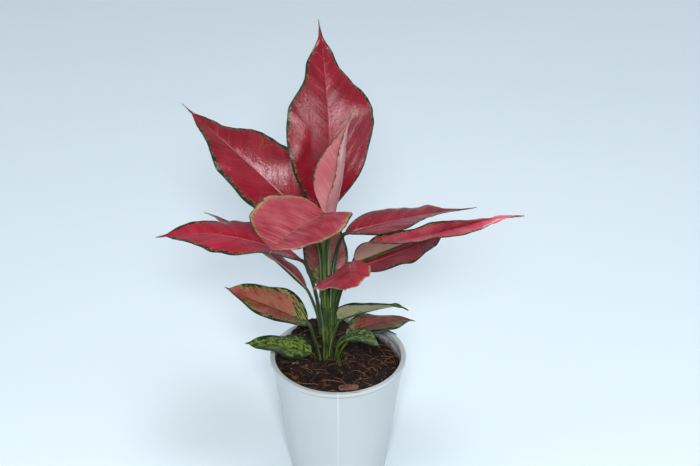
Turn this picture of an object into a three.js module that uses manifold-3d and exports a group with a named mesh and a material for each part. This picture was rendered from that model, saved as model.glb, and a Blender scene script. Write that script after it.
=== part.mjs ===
// Potted Chinese evergreen: a red-leaved foliage plant growing in a plain tapered pot.
// Millimetres, +Z up, the front of the plant towards -Y, origin at the centre of the pot's flat base.

import * as THREE from 'three';
import { mergeVertices } from 'three/addons/utils/BufferGeometryUtils.js';
import Module from 'manifold-3d';

const wasm = await Module();
wasm.setup();

// ---- driving dimensions ----

const clearance = 0.35; // air between pieces that touch

const potHeight = 110;
const potBaseRadius = 39;
const potNeckRadius = 53; // outside, just under the rim
const potRimRadius = 55;
const potRimHeight = 3;
const potMouthRadius = 51;
const potWall = 1.5;
const potWallTop = potHeight - 5; // the wall thickens into the rim from here up
const potInsideTop = potMouthRadius - 0.6; // inside radius there
const potFloor = 2.5;
const potFootBevel = 1.5;
const potInnerBevel = 1;
const potRimBevel = 0.8;
const potLipBevel = 0.6;
const potSides = 40;
const drainHoles = 6;
const drainHoleRadius = 4;
const drainHoleSides = 10;
const drainCircleRadius = 24;

const soilLevel = 105.5; // mean height of the surface
const soilHeap = { x: -20, y: 42, spreadX: 26, spreadY: 17, height: 10 };
const soilHollow = { x: 40, y: 20, spreadX: 20, spreadY: 22, height: -8 };
const soilEdgeLevel = soilLevel + soilHollow.height; // where the wall is nearest to the surface's edge
const soilLumps = [ // height, waves along x and y, and phase
  { height: 0.7, x: 0.55, y: 0.61, phase: 1.3 },
  { height: 0.5, x: 1.1, y: 0.7, phase: 0.4 },
  { height: 0.4, x: -0.5, y: 1.35, phase: 2 },
];
const soilRings = 8;
const soilSectors = 36;
const soilBottomRadius = 36.6;
const soilBottom = potFloor + clearance;
const soilWallGap = 0.6;

const fibreCount = 16;
const fibreSeed = 11;
const fibreRadius = 0.55;
const fibreReach = 42; // farthest from the pot's axis
const fibreShortest = 8;
const fibreLongest = 22;
const fibreBend = 0.25; // greatest bow to either side, as a share of the length
const fibreArch = 1; // height of its middle over the soil
const fibreSunk = 0.6; // depth of its ends in the soil
const fibreFromWall = 2;
const fibreSteps = 4;
const fibreSides = 3;

const plantRoot = 92; // how deep the stems reach into the soil

const bladeThickness = 0.8;
const longStations = 16; // cross-sections along a blade
const shortStations = 11;
const longBlade = 80;
const ribSteps = 120; // fine steps by which the rib is followed
const tipHalfWidth = 0.5; // where a blade ends in a thread
const dripWidth = 0.07; // width of the long thread as a share of the blade's
const pointSlope = 0.08; // how quickly half the width grows from the tip, where the thread widens
const pointFrom = 0.6; // the thread takes over between these places along the blade
const pointTo = 0.88;
const tipDroopStart = 0.75; // how far along the blade the tip begins to droop
const waveFade = 0.7; // how quickly the waves fade towards both ends
const stalkSteps = 5;
const stalkLeave = 0.5; // how straight the stalk leaves the stem, as a share of its span
const stalkBend = 0.3; // how gently it bends into the rib
const stalkTaper = 0.75; // of its radius, where it meets the blade
const stalkFlatness = 0.55; // height of its upper side as a share of its radius
const stalkFade = 4; // the stalk's width runs out over this part of the blade: a quarter
const sheathShare = 0.4; // the lowest part of the stalk widens into a sheath
const sheathSpread = 0.3;
const evenColumns = [1, 0.5, 0, -0.5, -1]; // places across a blade, from its left edge to its right
const midribEnd = 0.8; // how far along the blade the thick rib runs
const leastKeel = 0.3;
const keelShoulder = 0.4; // height of the keel's sides as a share of its depth
const keelSpread = 0.8; // half its width as a share of its depth
const widestKeel = 0.3; // half its width as a share of half the blade's
const openAtEnds = 0.35; // a folded blade opens where it is narrow
const foldedFrom = 9; // half width over which that happens
const leastCurl = 0.01; // degrees; stands in for a flat half

const stemPath = [[-9, 2, plantRoot], [-8.6, 2, 118], [-8.6, 2.6, 150], [-8.2, 3, 196]];
const stemRadii = [4.6, 4.4, 5.8, 4.2];
const stemSides = 12;
const stemSteps = 14;
const sheathRibs = 3; // leaf bases wrapped round the stem show as long ribs
const sheathRibHeight = 0.09; // as a share of the radius

const chip = { centre: [8.5, -39, 105.1], length: 16, width: 6, thickness: 2.4, turn: 4, lean: 6 };

// ---- colours of the pieces ----

const colours = {
  pot: 0xd5dfe3,
  soil: 0x2a1a14,
  bark: 0x9a5a3c,
  stem: 0x4d6b39,
  red: 0xa8303f,
  pink: 0xc6616b,
  mixed: 0x9a5a45,
  green: 0x3f5f2c,
};

// ---- the leaves ----
//
// Angles are in degrees, lengths in millimetres.
// base: where the blade starts; root: where its stalk leaves the stem, or its lowest point in the soil
// leave: how straight the stalk leaves the stem, if not as most do; bend: how gently it bends into the rib
// across: as evenColumns
// heading: direction seen from above, 0 along +X and 90 along +Y; sweep: how much it turns along the blade
// rise: slope of the rib at the base; droop: how much it falls along the blade; tipDroop: more near the tip
// skew: share by which the left half is wider; shoulder: place of the widest point
// taper: how slim the end is
// drip: share of the length taken by the thread at the tip
// edgeL, edgeR: small changes to one edge of the outline, as places along the blade and shares of its width
// roll and twist: turn about the rib, left side up; fold: how far each half stands up from flat
// curl: how much each half bends down again towards its edge; wave: height of the waves in the edge

const leaves = [
  {
    name: 'leaf_crown', colour: 'red',
    root: [-8.4, 5.6, 190], stalk: 2.6,
    base: [-5, 20, 233.7],
    heading: 102, sweep: -1, rise: 95, droop: 48, tipDroop: -3,
    length: 155, width: 80, skew: -0.01, shoulder: 0.45, taper: 1.25, drip: 0.08,
    roll: 11, twist: 9, foldL: 18, foldR: -2, curlL: 12, curlR: 20,
    wave: 3.4, waves: 2.7, phaseL: 130, phaseR: 300,
    edgeL: [[0.03, 1.3], [0.1, 1.18], [0.2, 0.98], [0.5, 1], [0.6, 1.06], [0.71, 0.92], [0.8, 1.12]],
    edgeR: [[0.25, 1], [0.4, 1.07], [0.6, 1.09], [0.7, 0.98], [0.77, 0.84], [0.85, 1]],
  },
  {
    name: 'leaf_unfurling', colour: 'pink',
    root: [-8, 0.2, 188], stalk: 2.4,
    base: [-5.7, -7.2, 234.7],
    heading: 46, sweep: -6, rise: 82, droop: 10.5, tipDroop: 7.5,
    length: 96, width: 39, skew: -0.04, shoulder: 0.44, taper: 1.15, drip: 0.09,
    roll: -9.5, twist: 5, foldL: 28, foldR: -22, curlL: -6, curlR: -153,
    wave: 2.1, waves: 1.8, phaseL: 157, phaseR: 301,
    edgeL: [[0.1, 0.78], [0.28, 0.95], [0.5, 0.93], [0.7, 1]],
    across: [1, 0.5, 0, -0.3, -0.65, -1],
  },
  {
    name: 'leaf_front', colour: 'pink',
    root: [-11, -4, 160], stalk: 2.2,
    base: [-9.5, -19, 255], bend: 0.05,
    heading: 240, sweep: 15.5, rise: 14.5, droop: 1.5, tipDroop: 3,
    length: 105, width: 70.5, skew: 0.09, shoulder: 0.57, taper: 0.17, drip: 0.07,
    roll: 5, twist: -12.3, foldL: 21.7, foldR: 34, curlL: 11.7, curlR: 3,
    wave: 1.8, waves: 1.6, phaseL: 346, phaseR: 215,
    edgeL: [[0.8, 1], [0.94, 0.72]],
    edgeR: [[0.8, 1], [0.94, 0.8]],
  },
  {
    name: 'leaf_upper_right', colour: 'red',
    root: [-5.5, -3, 160], stalk: 2.3,
    base: [6, 0, 225.5], bend: 0.1,
    heading: 13, sweep: 8, rise: 11, droop: 18, tipDroop: -2,
    length: 109, width: 50, skew: 0.01, shoulder: 0.41, taper: 1.03, drip: 0.12,
    roll: -6, twist: -15, foldL: 11, foldR: 17, curlL: 17, curlR: 14,
    wave: 0.9, waves: 1.6, phaseL: 350, phaseR: 80,
    edgeL: [[0.6, 1], [0.7, 1.45], [0.78, 0.55], [0.9, 0.8]],
    edgeR: [[0.05, 1], [0.2, 1.35], [0.4, 1.3], [0.55, 0.95], [0.7, 1]],
  },
  {
    name: 'leaf_upper_left', colour: 'red',
    root: [-12, 5.5, 162], stalk: 2.2,
    base: [-29, 12, 238],
    heading: 147, sweep: -8, rise: 31, droop: 12, tipDroop: -4,
    length: 132, width: 65, skew: -0.09, shoulder: 0.39, taper: 1.13, drip: 0.09,
    roll: -23, twist: 51, foldL: 9, foldR: 16, curlL: 18, curlR: 13,
    wave: 2.1, waves: 3.1, phaseL: 60, phaseR: 180,
  },
  {
    name: 'leaf_long_right', colour: 'red',
    root: [-4, 1.5, 140], stalk: 2.6,
    base: [13.5, -3, 200.5], leave: 0.25, bend: 0.12,
    heading: -12, sweep: 0, rise: 32, droop: 12, tipDroop: 13,
    length: 145, width: 50, skew: -0.37, shoulder: 0.43, taper: 1.02, drip: 0.11,
    roll: 0, twist: 72, foldL: 89, foldR: 67, curlL: 15, curlR: 18,
    wave: 3.5, waves: 2.3, phaseL: 300, phaseR: 330,
  },
  {
    name: 'leaf_inner_right', colour: 'red',
    root: [-4, 6, 140], stalk: 2.1,
    base: [9.5, 2, 190], leave: 0.25, bend: 0.15,
    heading: 17, sweep: 18, rise: 10, droop: 6, tipDroop: -2,
    length: 92, width: 48, skew: 0, shoulder: 0.43, taper: 1.02, drip: 0.11,
    roll: -4, twist: 4, foldL: 15, foldR: 18, curlL: 15, curlR: 14,
    wave: 1.7, waves: 3.2, phaseL: 0, phaseR: 70,
  },
  {
    name: 'leaf_left', colour: 'red',
    root: [-13, 0, 138], stalk: 2.4,
    base: [-27, -8.5, 205.5], leave: 0.25, bend: 0.1,
    heading: 173, sweep: -11, rise: 28, droop: 51, tipDroop: 0,
    length: 124, width: 56, skew: 0.01, shoulder: 0.46, taper: 0.99, drip: 0.08,
    roll: 12, twist: -24, foldL: 16, foldR: 7, curlL: 14, curlR: 19,
    wave: 3.1, waves: 1.8, phaseL: 330, phaseR: 250,
  },
  {
    name: 'leaf_back_left', colour: 'red',
    root: [-13, 5, 128], stalk: 1.9,
    base: [-25, 8.5, 168.5], leave: 0.25, bend: 0.12,
    heading: 142, sweep: -10, rise: 28, droop: 33, tipDroop: 9,
    length: 122, width: 49, skew: 0.02, shoulder: 0.43, taper: 0.99, drip: 0.09,
    roll: 28, twist: -5, foldL: 26, foldR: 6, curlL: 10, curlR: 19,
    wave: 2.1, waves: 2.3, phaseL: 30, phaseR: 20,
  },
  {
    name: 'leaf_back', colour: 'red',
    root: [-7, 8, 138], stalk: 2,
    base: [-13, 12, 168],
    heading: 89, sweep: 1, rise: 40, droop: 15, tipDroop: -1,
    length: 86, width: 39, skew: -0.07, shoulder: 0.35, taper: 0.98, drip: 0.11,
    roll: 9, twist: 4, foldL: 29, foldR: 7, curlL: 9, curlR: 19,
    wave: 1.6, waves: 1.7, phaseL: 270, phaseR: 330,
  },
  {
    name: 'leaf_small_front', colour: 'red',
    root: [-4.5, -3, 150], stalk: 1.9,
    base: [8.4, -14, 207.5], bend: 0.1,
    heading: 282, sweep: -29, rise: 21, droop: 25, tipDroop: -5,
    length: 54, width: 47, skew: -0.37, shoulder: 0.41, taper: 0.91, drip: 0.03,
    roll: 6, twist: -10, foldL: 11, foldR: -16, curlL: 17, curlR: 18,
    wave: 1.9, waves: 3.3, phaseL: 20, phaseR: 170,
  },
  {
    name: 'leaf_folded_right', colour: 'green',
    root: [-6.5, -3, 112], stalk: 2,
    base: [2, -6.7, 149.5], leave: 0.25, bend: 0.1,
    heading: -17, sweep: 5, rise: 31, droop: 17, tipDroop: 46,
    length: 60.5, width: 33, skew: -0.1, shoulder: 0.34, taper: 0.95, drip: 0.1,
    roll: 15, twist: 23, foldL: 94, foldR: 76, curlL: 0, curlR: 0,
    wave: 0.9, waves: 1.4, phaseL: 0, phaseR: 30,
  },
  {
    name: 'leaf_low_left', colour: 'mixed',
    root: [-13.4, 1, plantRoot], stalk: 2.5,
    base: [-24, -3.5, 143.5], leave: 0.25, bend: 0.1,
    heading: 184, sweep: -1, rise: 31, droop: 7, tipDroop: -16,
    length: 75, width: 42, skew: -0.01, shoulder: 0.39, taper: 0.84, drip: 0.05,
    roll: -1, twist: -6, foldL: 19, foldR: 26, curlL: 13, curlR: 10,
    wave: 2.8, waves: 1.2, phaseL: 20, phaseR: 30,
  },
  {
    name: 'leaf_soil_left', colour: 'green',
    root: [-19.8, -1.5, plantRoot], stalk: 1.1,
    base: [-21.5, -5, 115],
    heading: 167, sweep: -6, rise: 10, droop: 21, tipDroop: 9,
    length: 57, width: 33, skew: 0, shoulder: 0.38, taper: 0.89, drip: 0.07,
    roll: 1, twist: 4, foldL: 15, foldR: 16, curlL: 15, curlR: 15,
    wave: 2.4, waves: 1.3, phaseL: 220, phaseR: 30,
  },
  {
    name: 'leaf_low_right', colour: 'mixed',
    root: [-2.2, 1.5, plantRoot], stalk: 1.5,
    base: [6.4, -0.4, 129.4],
    heading: 18, sweep: 13, rise: 18, droop: 43, tipDroop: 4,
    length: 64, width: 36, skew: 0.01, shoulder: 0.42, taper: 0.98, drip: 0.08,
    roll: -6, twist: -6, foldL: 14, foldR: 18, curlL: 15, curlR: 14,
    wave: 2.7, waves: 1.2, phaseL: 30, phaseR: 10,
  },
  {
    name: 'leaf_curled_right', colour: 'green',
    root: [2.6, -7.5, plantRoot], stalk: 1.5,
    base: [4.2, -21, 138.3],
    heading: 4, sweep: 0, rise: 42, droop: 115, tipDroop: 8,
    length: 36, width: 23, skew: -0.03, shoulder: 0.47, taper: 0.96, drip: 0.07,
    roll: -9, twist: 17, foldL: 7, foldR: 12, curlL: 19, curlR: 16,
    wave: 0.8, waves: 1.5, phaseL: 140, phaseR: 250,
  },
  {
    name: 'leaf_narrow_right', colour: 'green',
    root: [-2.5, -3.5, plantRoot], stalk: 1.2,
    base: [10, -5, 128], leave: 0.25,
    heading: 36, sweep: -14, rise: 8.5, droop: 39, tipDroop: 16,
    length: 46, width: 17, skew: 0, shoulder: 0.4, taper: 1, drip: 0.1,
    roll: -7, twist: 2, foldL: 15, foldR: 20, curlL: 15, curlR: 13,
    wave: 0.6, waves: 3.2, phaseL: 270, phaseR: 330,
  },
];

// ---- small helpers ----

const radians = THREE.MathUtils.degToRad;
const smooth = THREE.MathUtils.smoothstep;
const vector = (p) => new THREE.Vector3(...p);

// A repeatable random draw between 0 and 1.
function seededRandom(seed) {
  let state = seed;
  return () => {
    state = (state * 1664525 + 1013904223) % 4294967296;
    return state / 4294967296;
  };
}

// Closed geometry to a solid that can be joined and cut.
function toSolid(geometry) {
  const plain = geometry.clone();
  plain.deleteAttribute('normal');
  plain.deleteAttribute('uv');
  const merged = mergeVertices(plain, 1e-4);
  return new wasm.Manifold(new wasm.Mesh({
    numProp: 3,
    vertProperties: new Float32Array(merged.attributes.position.array),
    triVerts: new Uint32Array(merged.index.array),
  }));
}

function toGeometry(solid) {
  const mesh = solid.getMesh();
  const geometry = new THREE.BufferGeometry();
  geometry.setAttribute('position', new THREE.BufferAttribute(new Float32Array(mesh.vertProperties), 3));
  geometry.setIndex(new THREE.BufferAttribute(new Uint32Array(mesh.triVerts), 1));
  geometry.computeVertexNormals();
  return geometry;
}

// A closed skin over rings of points, each ring with the same number of them, capped at both ends.
function loft(rings) {
  const sides = rings[0].length;
  const positions = rings.flat().flatMap((p) => [p.x, p.y, p.z]);
  const index = [];
  for (let i = 0; i < rings.length - 1; i += 1) {
    for (let j = 0; j < sides; j += 1) {
      const a = i * sides + j;
      const b = i * sides + ((j + 1) % sides);
      index.push(a, b, b + sides, a, b + sides, a + sides);
    }
  }
  const last = (rings.length - 1) * sides;
  for (let j = 1; j < sides - 1; j += 1) {
    index.push(0, j + 1, j);
    index.push(last, last + j, last + j + 1);
  }
  const geometry = new THREE.BufferGeometry();
  geometry.setAttribute('position', new THREE.Float32BufferAttribute(positions, 3));
  geometry.setIndex(index);
  return geometry;
}

// Rings of a tube along points, with its own radius at each. The first ring's first point is on +X.
function tubeRings(points, radii, sides, ripple = () => 1) {
  const rings = [];
  let across = new THREE.Vector3(1, 0, 0);
  points.forEach((centre, i) => {
    const ahead = points[Math.min(i + 1, points.length - 1)];
    const behind = points[Math.max(i - 1, 0)];
    const along = ahead.clone().sub(behind).normalize();
    across = across.clone().addScaledVector(along, -across.dot(along)).normalize();
    const beside = along.clone().cross(across);
    const ring = [];
    for (let j = 0; j < sides; j += 1) {
      const angle = (2 * Math.PI * j) / sides;
      const reach = radii[i] * ripple(angle);
      ring.push(centre.clone()
        .addScaledVector(across, reach * Math.cos(angle))
        .addScaledVector(beside, reach * Math.sin(angle)));
    }
    rings.push(ring);
  });
  return rings;
}

// ---- leaves ----

function ribDirection(leaf, s) {
  const heading = radians(leaf.heading + leaf.sweep * s);
  const slope = radians(leaf.rise - leaf.droop * s - leaf.tipDroop * smooth(s, tipDroopStart, 1));
  return new THREE.Vector3(
    Math.cos(slope) * Math.cos(heading),
    Math.cos(slope) * Math.sin(heading),
    Math.sin(slope),
  );
}

// The rib at evenly spaced fine steps, found by following its direction.
function ribPoints(leaf) {
  const point = vector(leaf.base);
  const points = [point.clone()];
  for (let i = 0; i < ribSteps; i += 1) {
    point.addScaledVector(ribDirection(leaf, (i + 0.5) / ribSteps), leaf.length / ribSteps);
    points.push(point.clone());
  }
  return points;
}

// Half the width of the blade if it were flat, without its skew.
function halfWidth(leaf, s) {
  const rootPower = (leaf.taper * leaf.shoulder) / (1 - leaf.shoulder);
  const peak = leaf.shoulder ** rootPower * (1 - leaf.shoulder) ** leaf.taper;
  const t = Math.min(s / (1 - leaf.drip), 1);
  const body = (t ** rootPower * (1 - t) ** leaf.taper) / peak;
  const thread = dripWidth * (1 - s) * smooth(s, 0, 1 - leaf.drip);
  const least = Math.max(leaf.stalk * stalkTaper * (1 - s * stalkFade), tipHalfWidth);
  const point = pointSlope * leaf.length * (1 - s) * smooth(s, pointFrom, pointTo);
  return Math.max(Math.hypot((leaf.width / 2) * (body + thread), point), least);
}

// The share of its width that one edge has at a place along the blade.
function edgeShare(edge, s) {
  const spots = [[0, 1], ...(edge ?? []), [1, 1]];
  const after = Math.max(spots.findIndex(([place]) => place >= s), 1);
  const [start, before] = spots[after - 1];
  const [end, share] = spots[after];
  return THREE.MathUtils.lerp(before, share, smooth(s, start, end));
}

// The rib and the blade's side and up directions at stations closer together near both ends.
function bladeFrames(leaf) {
  const rib = ribPoints(leaf);
  const frames = [];
  const stations = leaf.length > longBlade ? longStations : shortStations;
  for (let i = 0; i <= stations; i += 1) {
    const s = (1 - Math.cos((Math.PI * i) / stations)) / 2;
    const place = s * ribSteps;
    const below = Math.min(Math.floor(place), ribSteps - 1);
    const point = rib[below].clone().lerp(rib[below + 1], place - below);
    const heading = radians(leaf.heading + leaf.sweep * s);
    const level = new THREE.Vector3(-Math.sin(heading), Math.cos(heading), 0);
    const along = ribDirection(leaf, s);
    const turn = radians(leaf.roll + leaf.twist * s);
    const side = level.applyAxisAngle(along, turn);
    const up = along.clone().cross(side);
    frames.push({ s, point, side, up, half: halfWidth(leaf, s) });
  }
  return frames;
}

// A point of the blade's middle surface, and which way is up there. v runs from -1 to 1 across it.
function bladePoint(leaf, frame, v) {
  const left = v >= 0;
  const sign = left ? 1 : -1;
  const reach = Math.abs(v);
  const opened = Math.min(1, openAtEnds + frame.half / foldedFrom);
  const fold = radians(left ? leaf.foldL : leaf.foldR) * opened;
  const curl = radians((left ? leaf.curlL : leaf.curlR) || leastCurl);
  const edge = edgeShare(left ? leaf.edgeL : leaf.edgeR, frame.s);
  const half = frame.half * (1 + sign * leaf.skew) * edge;
  const out = (half * (Math.sin(fold) - Math.sin(fold - curl * reach))) / curl;
  const bow = (half * (Math.cos(fold - curl * reach) - Math.cos(fold))) / curl;
  const phase = radians(left ? leaf.phaseL : leaf.phaseR);
  const fade = Math.sin(Math.PI * frame.s) ** waveFade;
  const swell = fade * Math.sin(2 * Math.PI * leaf.waves * frame.s + phase);
  const lift = bow + leaf.wave * reach * reach * swell;
  const slope = reach === 0 ? 0 : fold - curl * reach;
  const point = frame.point.clone().addScaledVector(frame.side, sign * out).addScaledVector(frame.up, lift);
  const up = frame.up.clone().multiplyScalar(Math.cos(slope));
  up.addScaledVector(frame.side, -sign * Math.sin(slope));
  return { point, up };
}

// One cross-section of the blade: over the top from left to right, and back underneath, where the
// midrib stands out as a keel.
function bladeRing(leaf, frame) {
  const raise = (v, height) => {
    const place = bladePoint(leaf, frame, v);
    return place.point.addScaledVector(place.up, height);
  };
  const keel = Math.max(leaf.stalk * stalkTaper * (1 - frame.s / midribEnd), leastKeel);
  const beside = Math.min((keel * keelSpread) / frame.half, widestKeel);
  const flat = bladeThickness / 2;
  const across = leaf.across ?? evenColumns;
  return [
    ...across.map((v) => raise(v, flat)),
    ...across.filter((v) => v < 0).reverse().map((v) => raise(v, -flat)),
    raise(-beside, -flat - keel * keelShoulder),
    raise(0, -flat - keel),
    raise(beside, -flat - keel * keelShoulder),
    ...across.filter((v) => v > 0).reverse().map((v) => raise(v, -flat)),
  ];
}

// The stalk leaves the stem upwards and bends into the rib.
function stalkCurve(leaf) {
  const root = vector(leaf.root);
  const base = vector(leaf.base);
  const span = root.distanceTo(base);
  const leave = root.clone().add(new THREE.Vector3(0, 0, span * (leaf.leave ?? stalkLeave)));
  const arrive = base.clone().addScaledVector(ribDirection(leaf, 0), -span * (leaf.bend ?? stalkBend));
  return new THREE.CubicBezierCurve3(root, leave, arrive, base);
}

// Cross-sections of the stalk from its root up, round below and flatter on its upper side,
// with the same points as the blade's.
function stalkRings(leaf, firstFrame, grow = 0) {
  const curve = stalkCurve(leaf);
  const columns = (leaf.across ?? evenColumns).length;
  const below = columns + 2; // the blade has a point more on each side of its keel
  const overTop = Array.from({ length: columns }, (_, i) => (180 * i) / (columns - 1));
  const underneath = Array.from({ length: below }, (_, i) => 180 + (180 * (i + 0.7)) / (below + 0.4));
  let side = firstFrame.side.clone();
  const rings = [];
  for (let i = stalkSteps - 1; i >= 0; i -= 1) {
    const t = i / stalkSteps;
    const centre = curve.getPoint(t);
    const along = curve.getTangent(t);
    side = side.addScaledVector(along, -side.dot(along)).normalize();
    const up = along.clone().cross(side);
    const sheath = 1 + sheathSpread * (1 - smooth(t, 0, sheathShare));
    const radius = leaf.stalk * THREE.MathUtils.lerp(1, stalkTaper, t) * sheath + grow;
    if (grow > 0 && i === 0) centre.addScaledVector(along, -grow);
    rings.unshift([...overTop, ...underneath].map((degrees) => {
      const angle = radians(degrees);
      const height = Math.sin(angle) * (degrees < 180 ? stalkFlatness : 1);
      return centre.clone()
        .addScaledVector(side, radius * Math.cos(angle))
        .addScaledVector(up, radius * height);
    }));
  }
  return rings;
}

// The room a stalk takes up, with the clearance round it.
function stalkRoom(leaf) {
  const frames = bladeFrames(leaf);
  const rings = stalkRings(leaf, frames[0], clearance);
  const curve = stalkCurve(leaf);
  const end = curve.getPoint(1).sub(curve.getPoint((stalkSteps - 1) / stalkSteps));
  rings.push(rings[stalkSteps - 1].map((p) => p.clone().add(end)));
  return toSolid(loft(rings));
}

function leafSolid(leaf) {
  const frames = bladeFrames(leaf);
  const rings = [...stalkRings(leaf, frames[0]), ...frames.map((frame) => bladeRing(leaf, frame))];
  return toSolid(loft(rings));
}

// ---- stem, soil and pot ----

function stemSolid(grow = 0) {
  const path = new THREE.CatmullRomCurve3(stemPath.map(vector));
  const points = path.getPoints(stemSteps);
  const stretches = stemRadii.length - 1;
  const radii = points.map((_, i) => {
    const place = (i / stemSteps) * stretches;
    const below = Math.min(Math.floor(place), stretches - 1);
    return THREE.MathUtils.lerp(stemRadii[below], stemRadii[below + 1], place - below) + grow;
  });
  if (grow > 0) {
    points[0].z -= grow;
    points[stemSteps].z += grow;
  }
  const ripple = (angle) => 1 + sheathRibHeight * Math.cos(sheathRibs * angle);
  return toSolid(loft(tubeRings(points, radii, stemSides, ripple)));
}

function potGeometry() {
  const neck = potHeight - potRimHeight;
  const profile = [
    [0, 0],
    [potBaseRadius - potFootBevel, 0],
    [potBaseRadius, potFootBevel],
    [potNeckRadius, neck],
    [potRimRadius - potLipBevel, neck],
    [potRimRadius, neck + potLipBevel],
    [potRimRadius, potHeight - potRimBevel],
    [potRimRadius - potRimBevel, potHeight],
    [potMouthRadius + potLipBevel, potHeight],
    [potMouthRadius, potHeight - potLipBevel],
    [potInsideTop, potWallTop],
    [potBaseRadius - potWall, potFloor + potInnerBevel],
    [potBaseRadius - potWall - potInnerBevel, potFloor],
    [0, potFloor],
  ];
  const points = profile.map(([r, z]) => new THREE.Vector2(r, z));
  return new THREE.LatheGeometry(points, potSides).rotateX(Math.PI / 2);
}

function potSolid() {
  let solid = toSolid(potGeometry());
  for (let i = 0; i < drainHoles; i += 1) {
    const angle = (2 * Math.PI * i) / drainHoles;
    const through = potFloor * 4;
    const hole = new THREE.CylinderGeometry(drainHoleRadius, drainHoleRadius, through, drainHoleSides);
    hole.rotateX(Math.PI / 2);
    hole.translate(drainCircleRadius * Math.cos(angle), drainCircleRadius * Math.sin(angle), 0);
    solid = solid.subtract(toSolid(hole));
  }
  return solid;
}

// The soil's radius where it fills the pot, with the gap to the wall.
function soilRadius(z) {
  const share = THREE.MathUtils.clamp((z - potFloor) / (potWallTop - potFloor), 0, 1);
  return THREE.MathUtils.lerp(potBaseRadius - potWall, potInsideTop, share) - soilWallGap;
}

// How much a heap or a hollow changes the height of the surface.
function soilRise(place, x, y) {
  const far = ((x - place.x) / place.spreadX) ** 2 + ((y - place.y) / place.spreadY) ** 2;
  return place.height * Math.exp(-far);
}

// The surface is heaped up behind on the left, sunk behind on the right and lumpy all over.
function soilHeight(x, y) {
  let height = soilLevel + soilRise(soilHeap, x, y) + soilRise(soilHollow, x, y);
  soilLumps.forEach((lump) => {
    height += lump.height * Math.sin(x * lump.x + y * lump.y + lump.phase);
  });
  return height;
}

function soilBody() {
  const top = [];
  const limit = soilRadius(soilEdgeLevel);
  for (let i = 1; i <= soilRings; i += 1) {
    const ring = [];
    for (let j = 0; j < soilSectors; j += 1) {
      const angle = (2 * Math.PI * j) / soilSectors;
      const radius = (limit * i) / soilRings;
      const x = radius * Math.cos(angle);
      const y = radius * Math.sin(angle);
      ring.push(new THREE.Vector3(x, y, soilHeight(x, y)));
    }
    top.push(ring);
  }
  const bottom = [];
  for (let j = 0; j < soilSectors; j += 1) {
    const angle = (2 * Math.PI * j) / soilSectors;
    const x = soilBottomRadius * Math.cos(angle);
    const y = soilBottomRadius * Math.sin(angle);
    bottom.push(new THREE.Vector3(x, y, soilBottom));
  }
  return toSolid(loft([bottom, ...top.reverse()]));
}

// A loose fibre of coir lying on the soil, its two ends sunk into it.
function fibreSolid(random) {
  const turn = random() * 2 * Math.PI;
  const reach = fibreReach * Math.sqrt(random());
  const angle = random() * 2 * Math.PI;
  const centre = [reach * Math.cos(angle), reach * Math.sin(angle)];
  const length = THREE.MathUtils.lerp(fibreShortest, fibreLongest, random());
  const bend = (random() * 2 - 1) * fibreBend * length;
  const limit = soilRadius(soilEdgeLevel) - fibreFromWall;
  const points = [];
  for (let i = 0; i <= fibreSteps; i += 1) {
    const t = i / fibreSteps;
    const along = (t - 0.5) * length;
    const bow = Math.sin(Math.PI * t);
    let x = centre[0] + along * Math.cos(turn) - bend * bow * Math.sin(turn);
    let y = centre[1] + along * Math.sin(turn) + bend * bow * Math.cos(turn);
    const far = Math.hypot(x, y) / limit;
    if (far > 1) {
      x /= far;
      y /= far;
    }
    const lift = THREE.MathUtils.lerp(-fibreSunk, fibreArch, bow);
    points.push(new THREE.Vector3(x, y, soilHeight(x, y) + lift));
  }
  return toSolid(loft(tubeRings(points, points.map(() => fibreRadius), fibreSides)));
}

function soilSolid(stems) {
  const random = seededRandom(fibreSeed);
  let solid = soilBody();
  for (let i = 0; i < fibreCount; i += 1) {
    solid = solid.add(fibreSolid(random));
  }
  stems.forEach((stem) => {
    solid = solid.subtract(stem);
  });
  return solid.subtract(chipSolid(clearance));
}

// A flake of bark: a flat box whose ends are broken off at a slant.
function chipSolid(grow = 0) {
  const shape = new THREE.Shape();
  const half = chip.length / 2 + grow;
  const side = chip.width / 2 + grow;
  shape.moveTo(-half, -side * 0.8);
  shape.lineTo(half * 0.7, -side);
  shape.lineTo(half, -side * 0.1);
  shape.lineTo(half * 0.75, side * 0.9);
  shape.lineTo(-half * 0.8, side);
  const depth = chip.thickness + 2 * grow;
  const geometry = new THREE.ExtrudeGeometry(shape, { depth, bevelEnabled: false });
  geometry.translate(0, 0, -depth / 2);
  geometry.rotateX(radians(chip.lean));
  geometry.rotateZ(radians(chip.turn));
  geometry.translate(...chip.centre);
  return toSolid(geometry);
}

// ---- the assembly ----

const group = new THREE.Group();

function addPiece(name, solid, colour, roughness) {
  const material = new THREE.MeshStandardMaterial({ color: colours[colour], roughness, metalness: 0 });
  const mesh = new THREE.Mesh(toGeometry(solid), material);
  mesh.name = name;
  group.add(mesh);
}

addPiece('pot', potSolid(), 'pot', 0.35);

const inSoil = leaves.filter((leaf) => leaf.root[2] === plantRoot);
const holes = [stemSolid(clearance), ...inSoil.map(stalkRoom)];
addPiece('soil', soilSolid(holes), 'soil', 0.95);
addPiece('bark_chip', chipSolid(), 'bark', 0.9);
addPiece('stem', stemSolid(), 'stem', 0.5);

// Each leaf is trimmed back from the stem and from the stalks that grew before it.
const grown = [stemSolid(clearance)];
leaves.forEach((leaf) => {
  let solid = leafSolid(leaf);
  grown.forEach((other) => {
    solid = solid.subtract(other);
  });
  grown.push(stalkRoom(leaf));
  addPiece(leaf.name, solid, leaf.colour, 0.45);
});

export default group;
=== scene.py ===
import math
import random

import bpy
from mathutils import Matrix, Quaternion, Vector, noise


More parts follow.
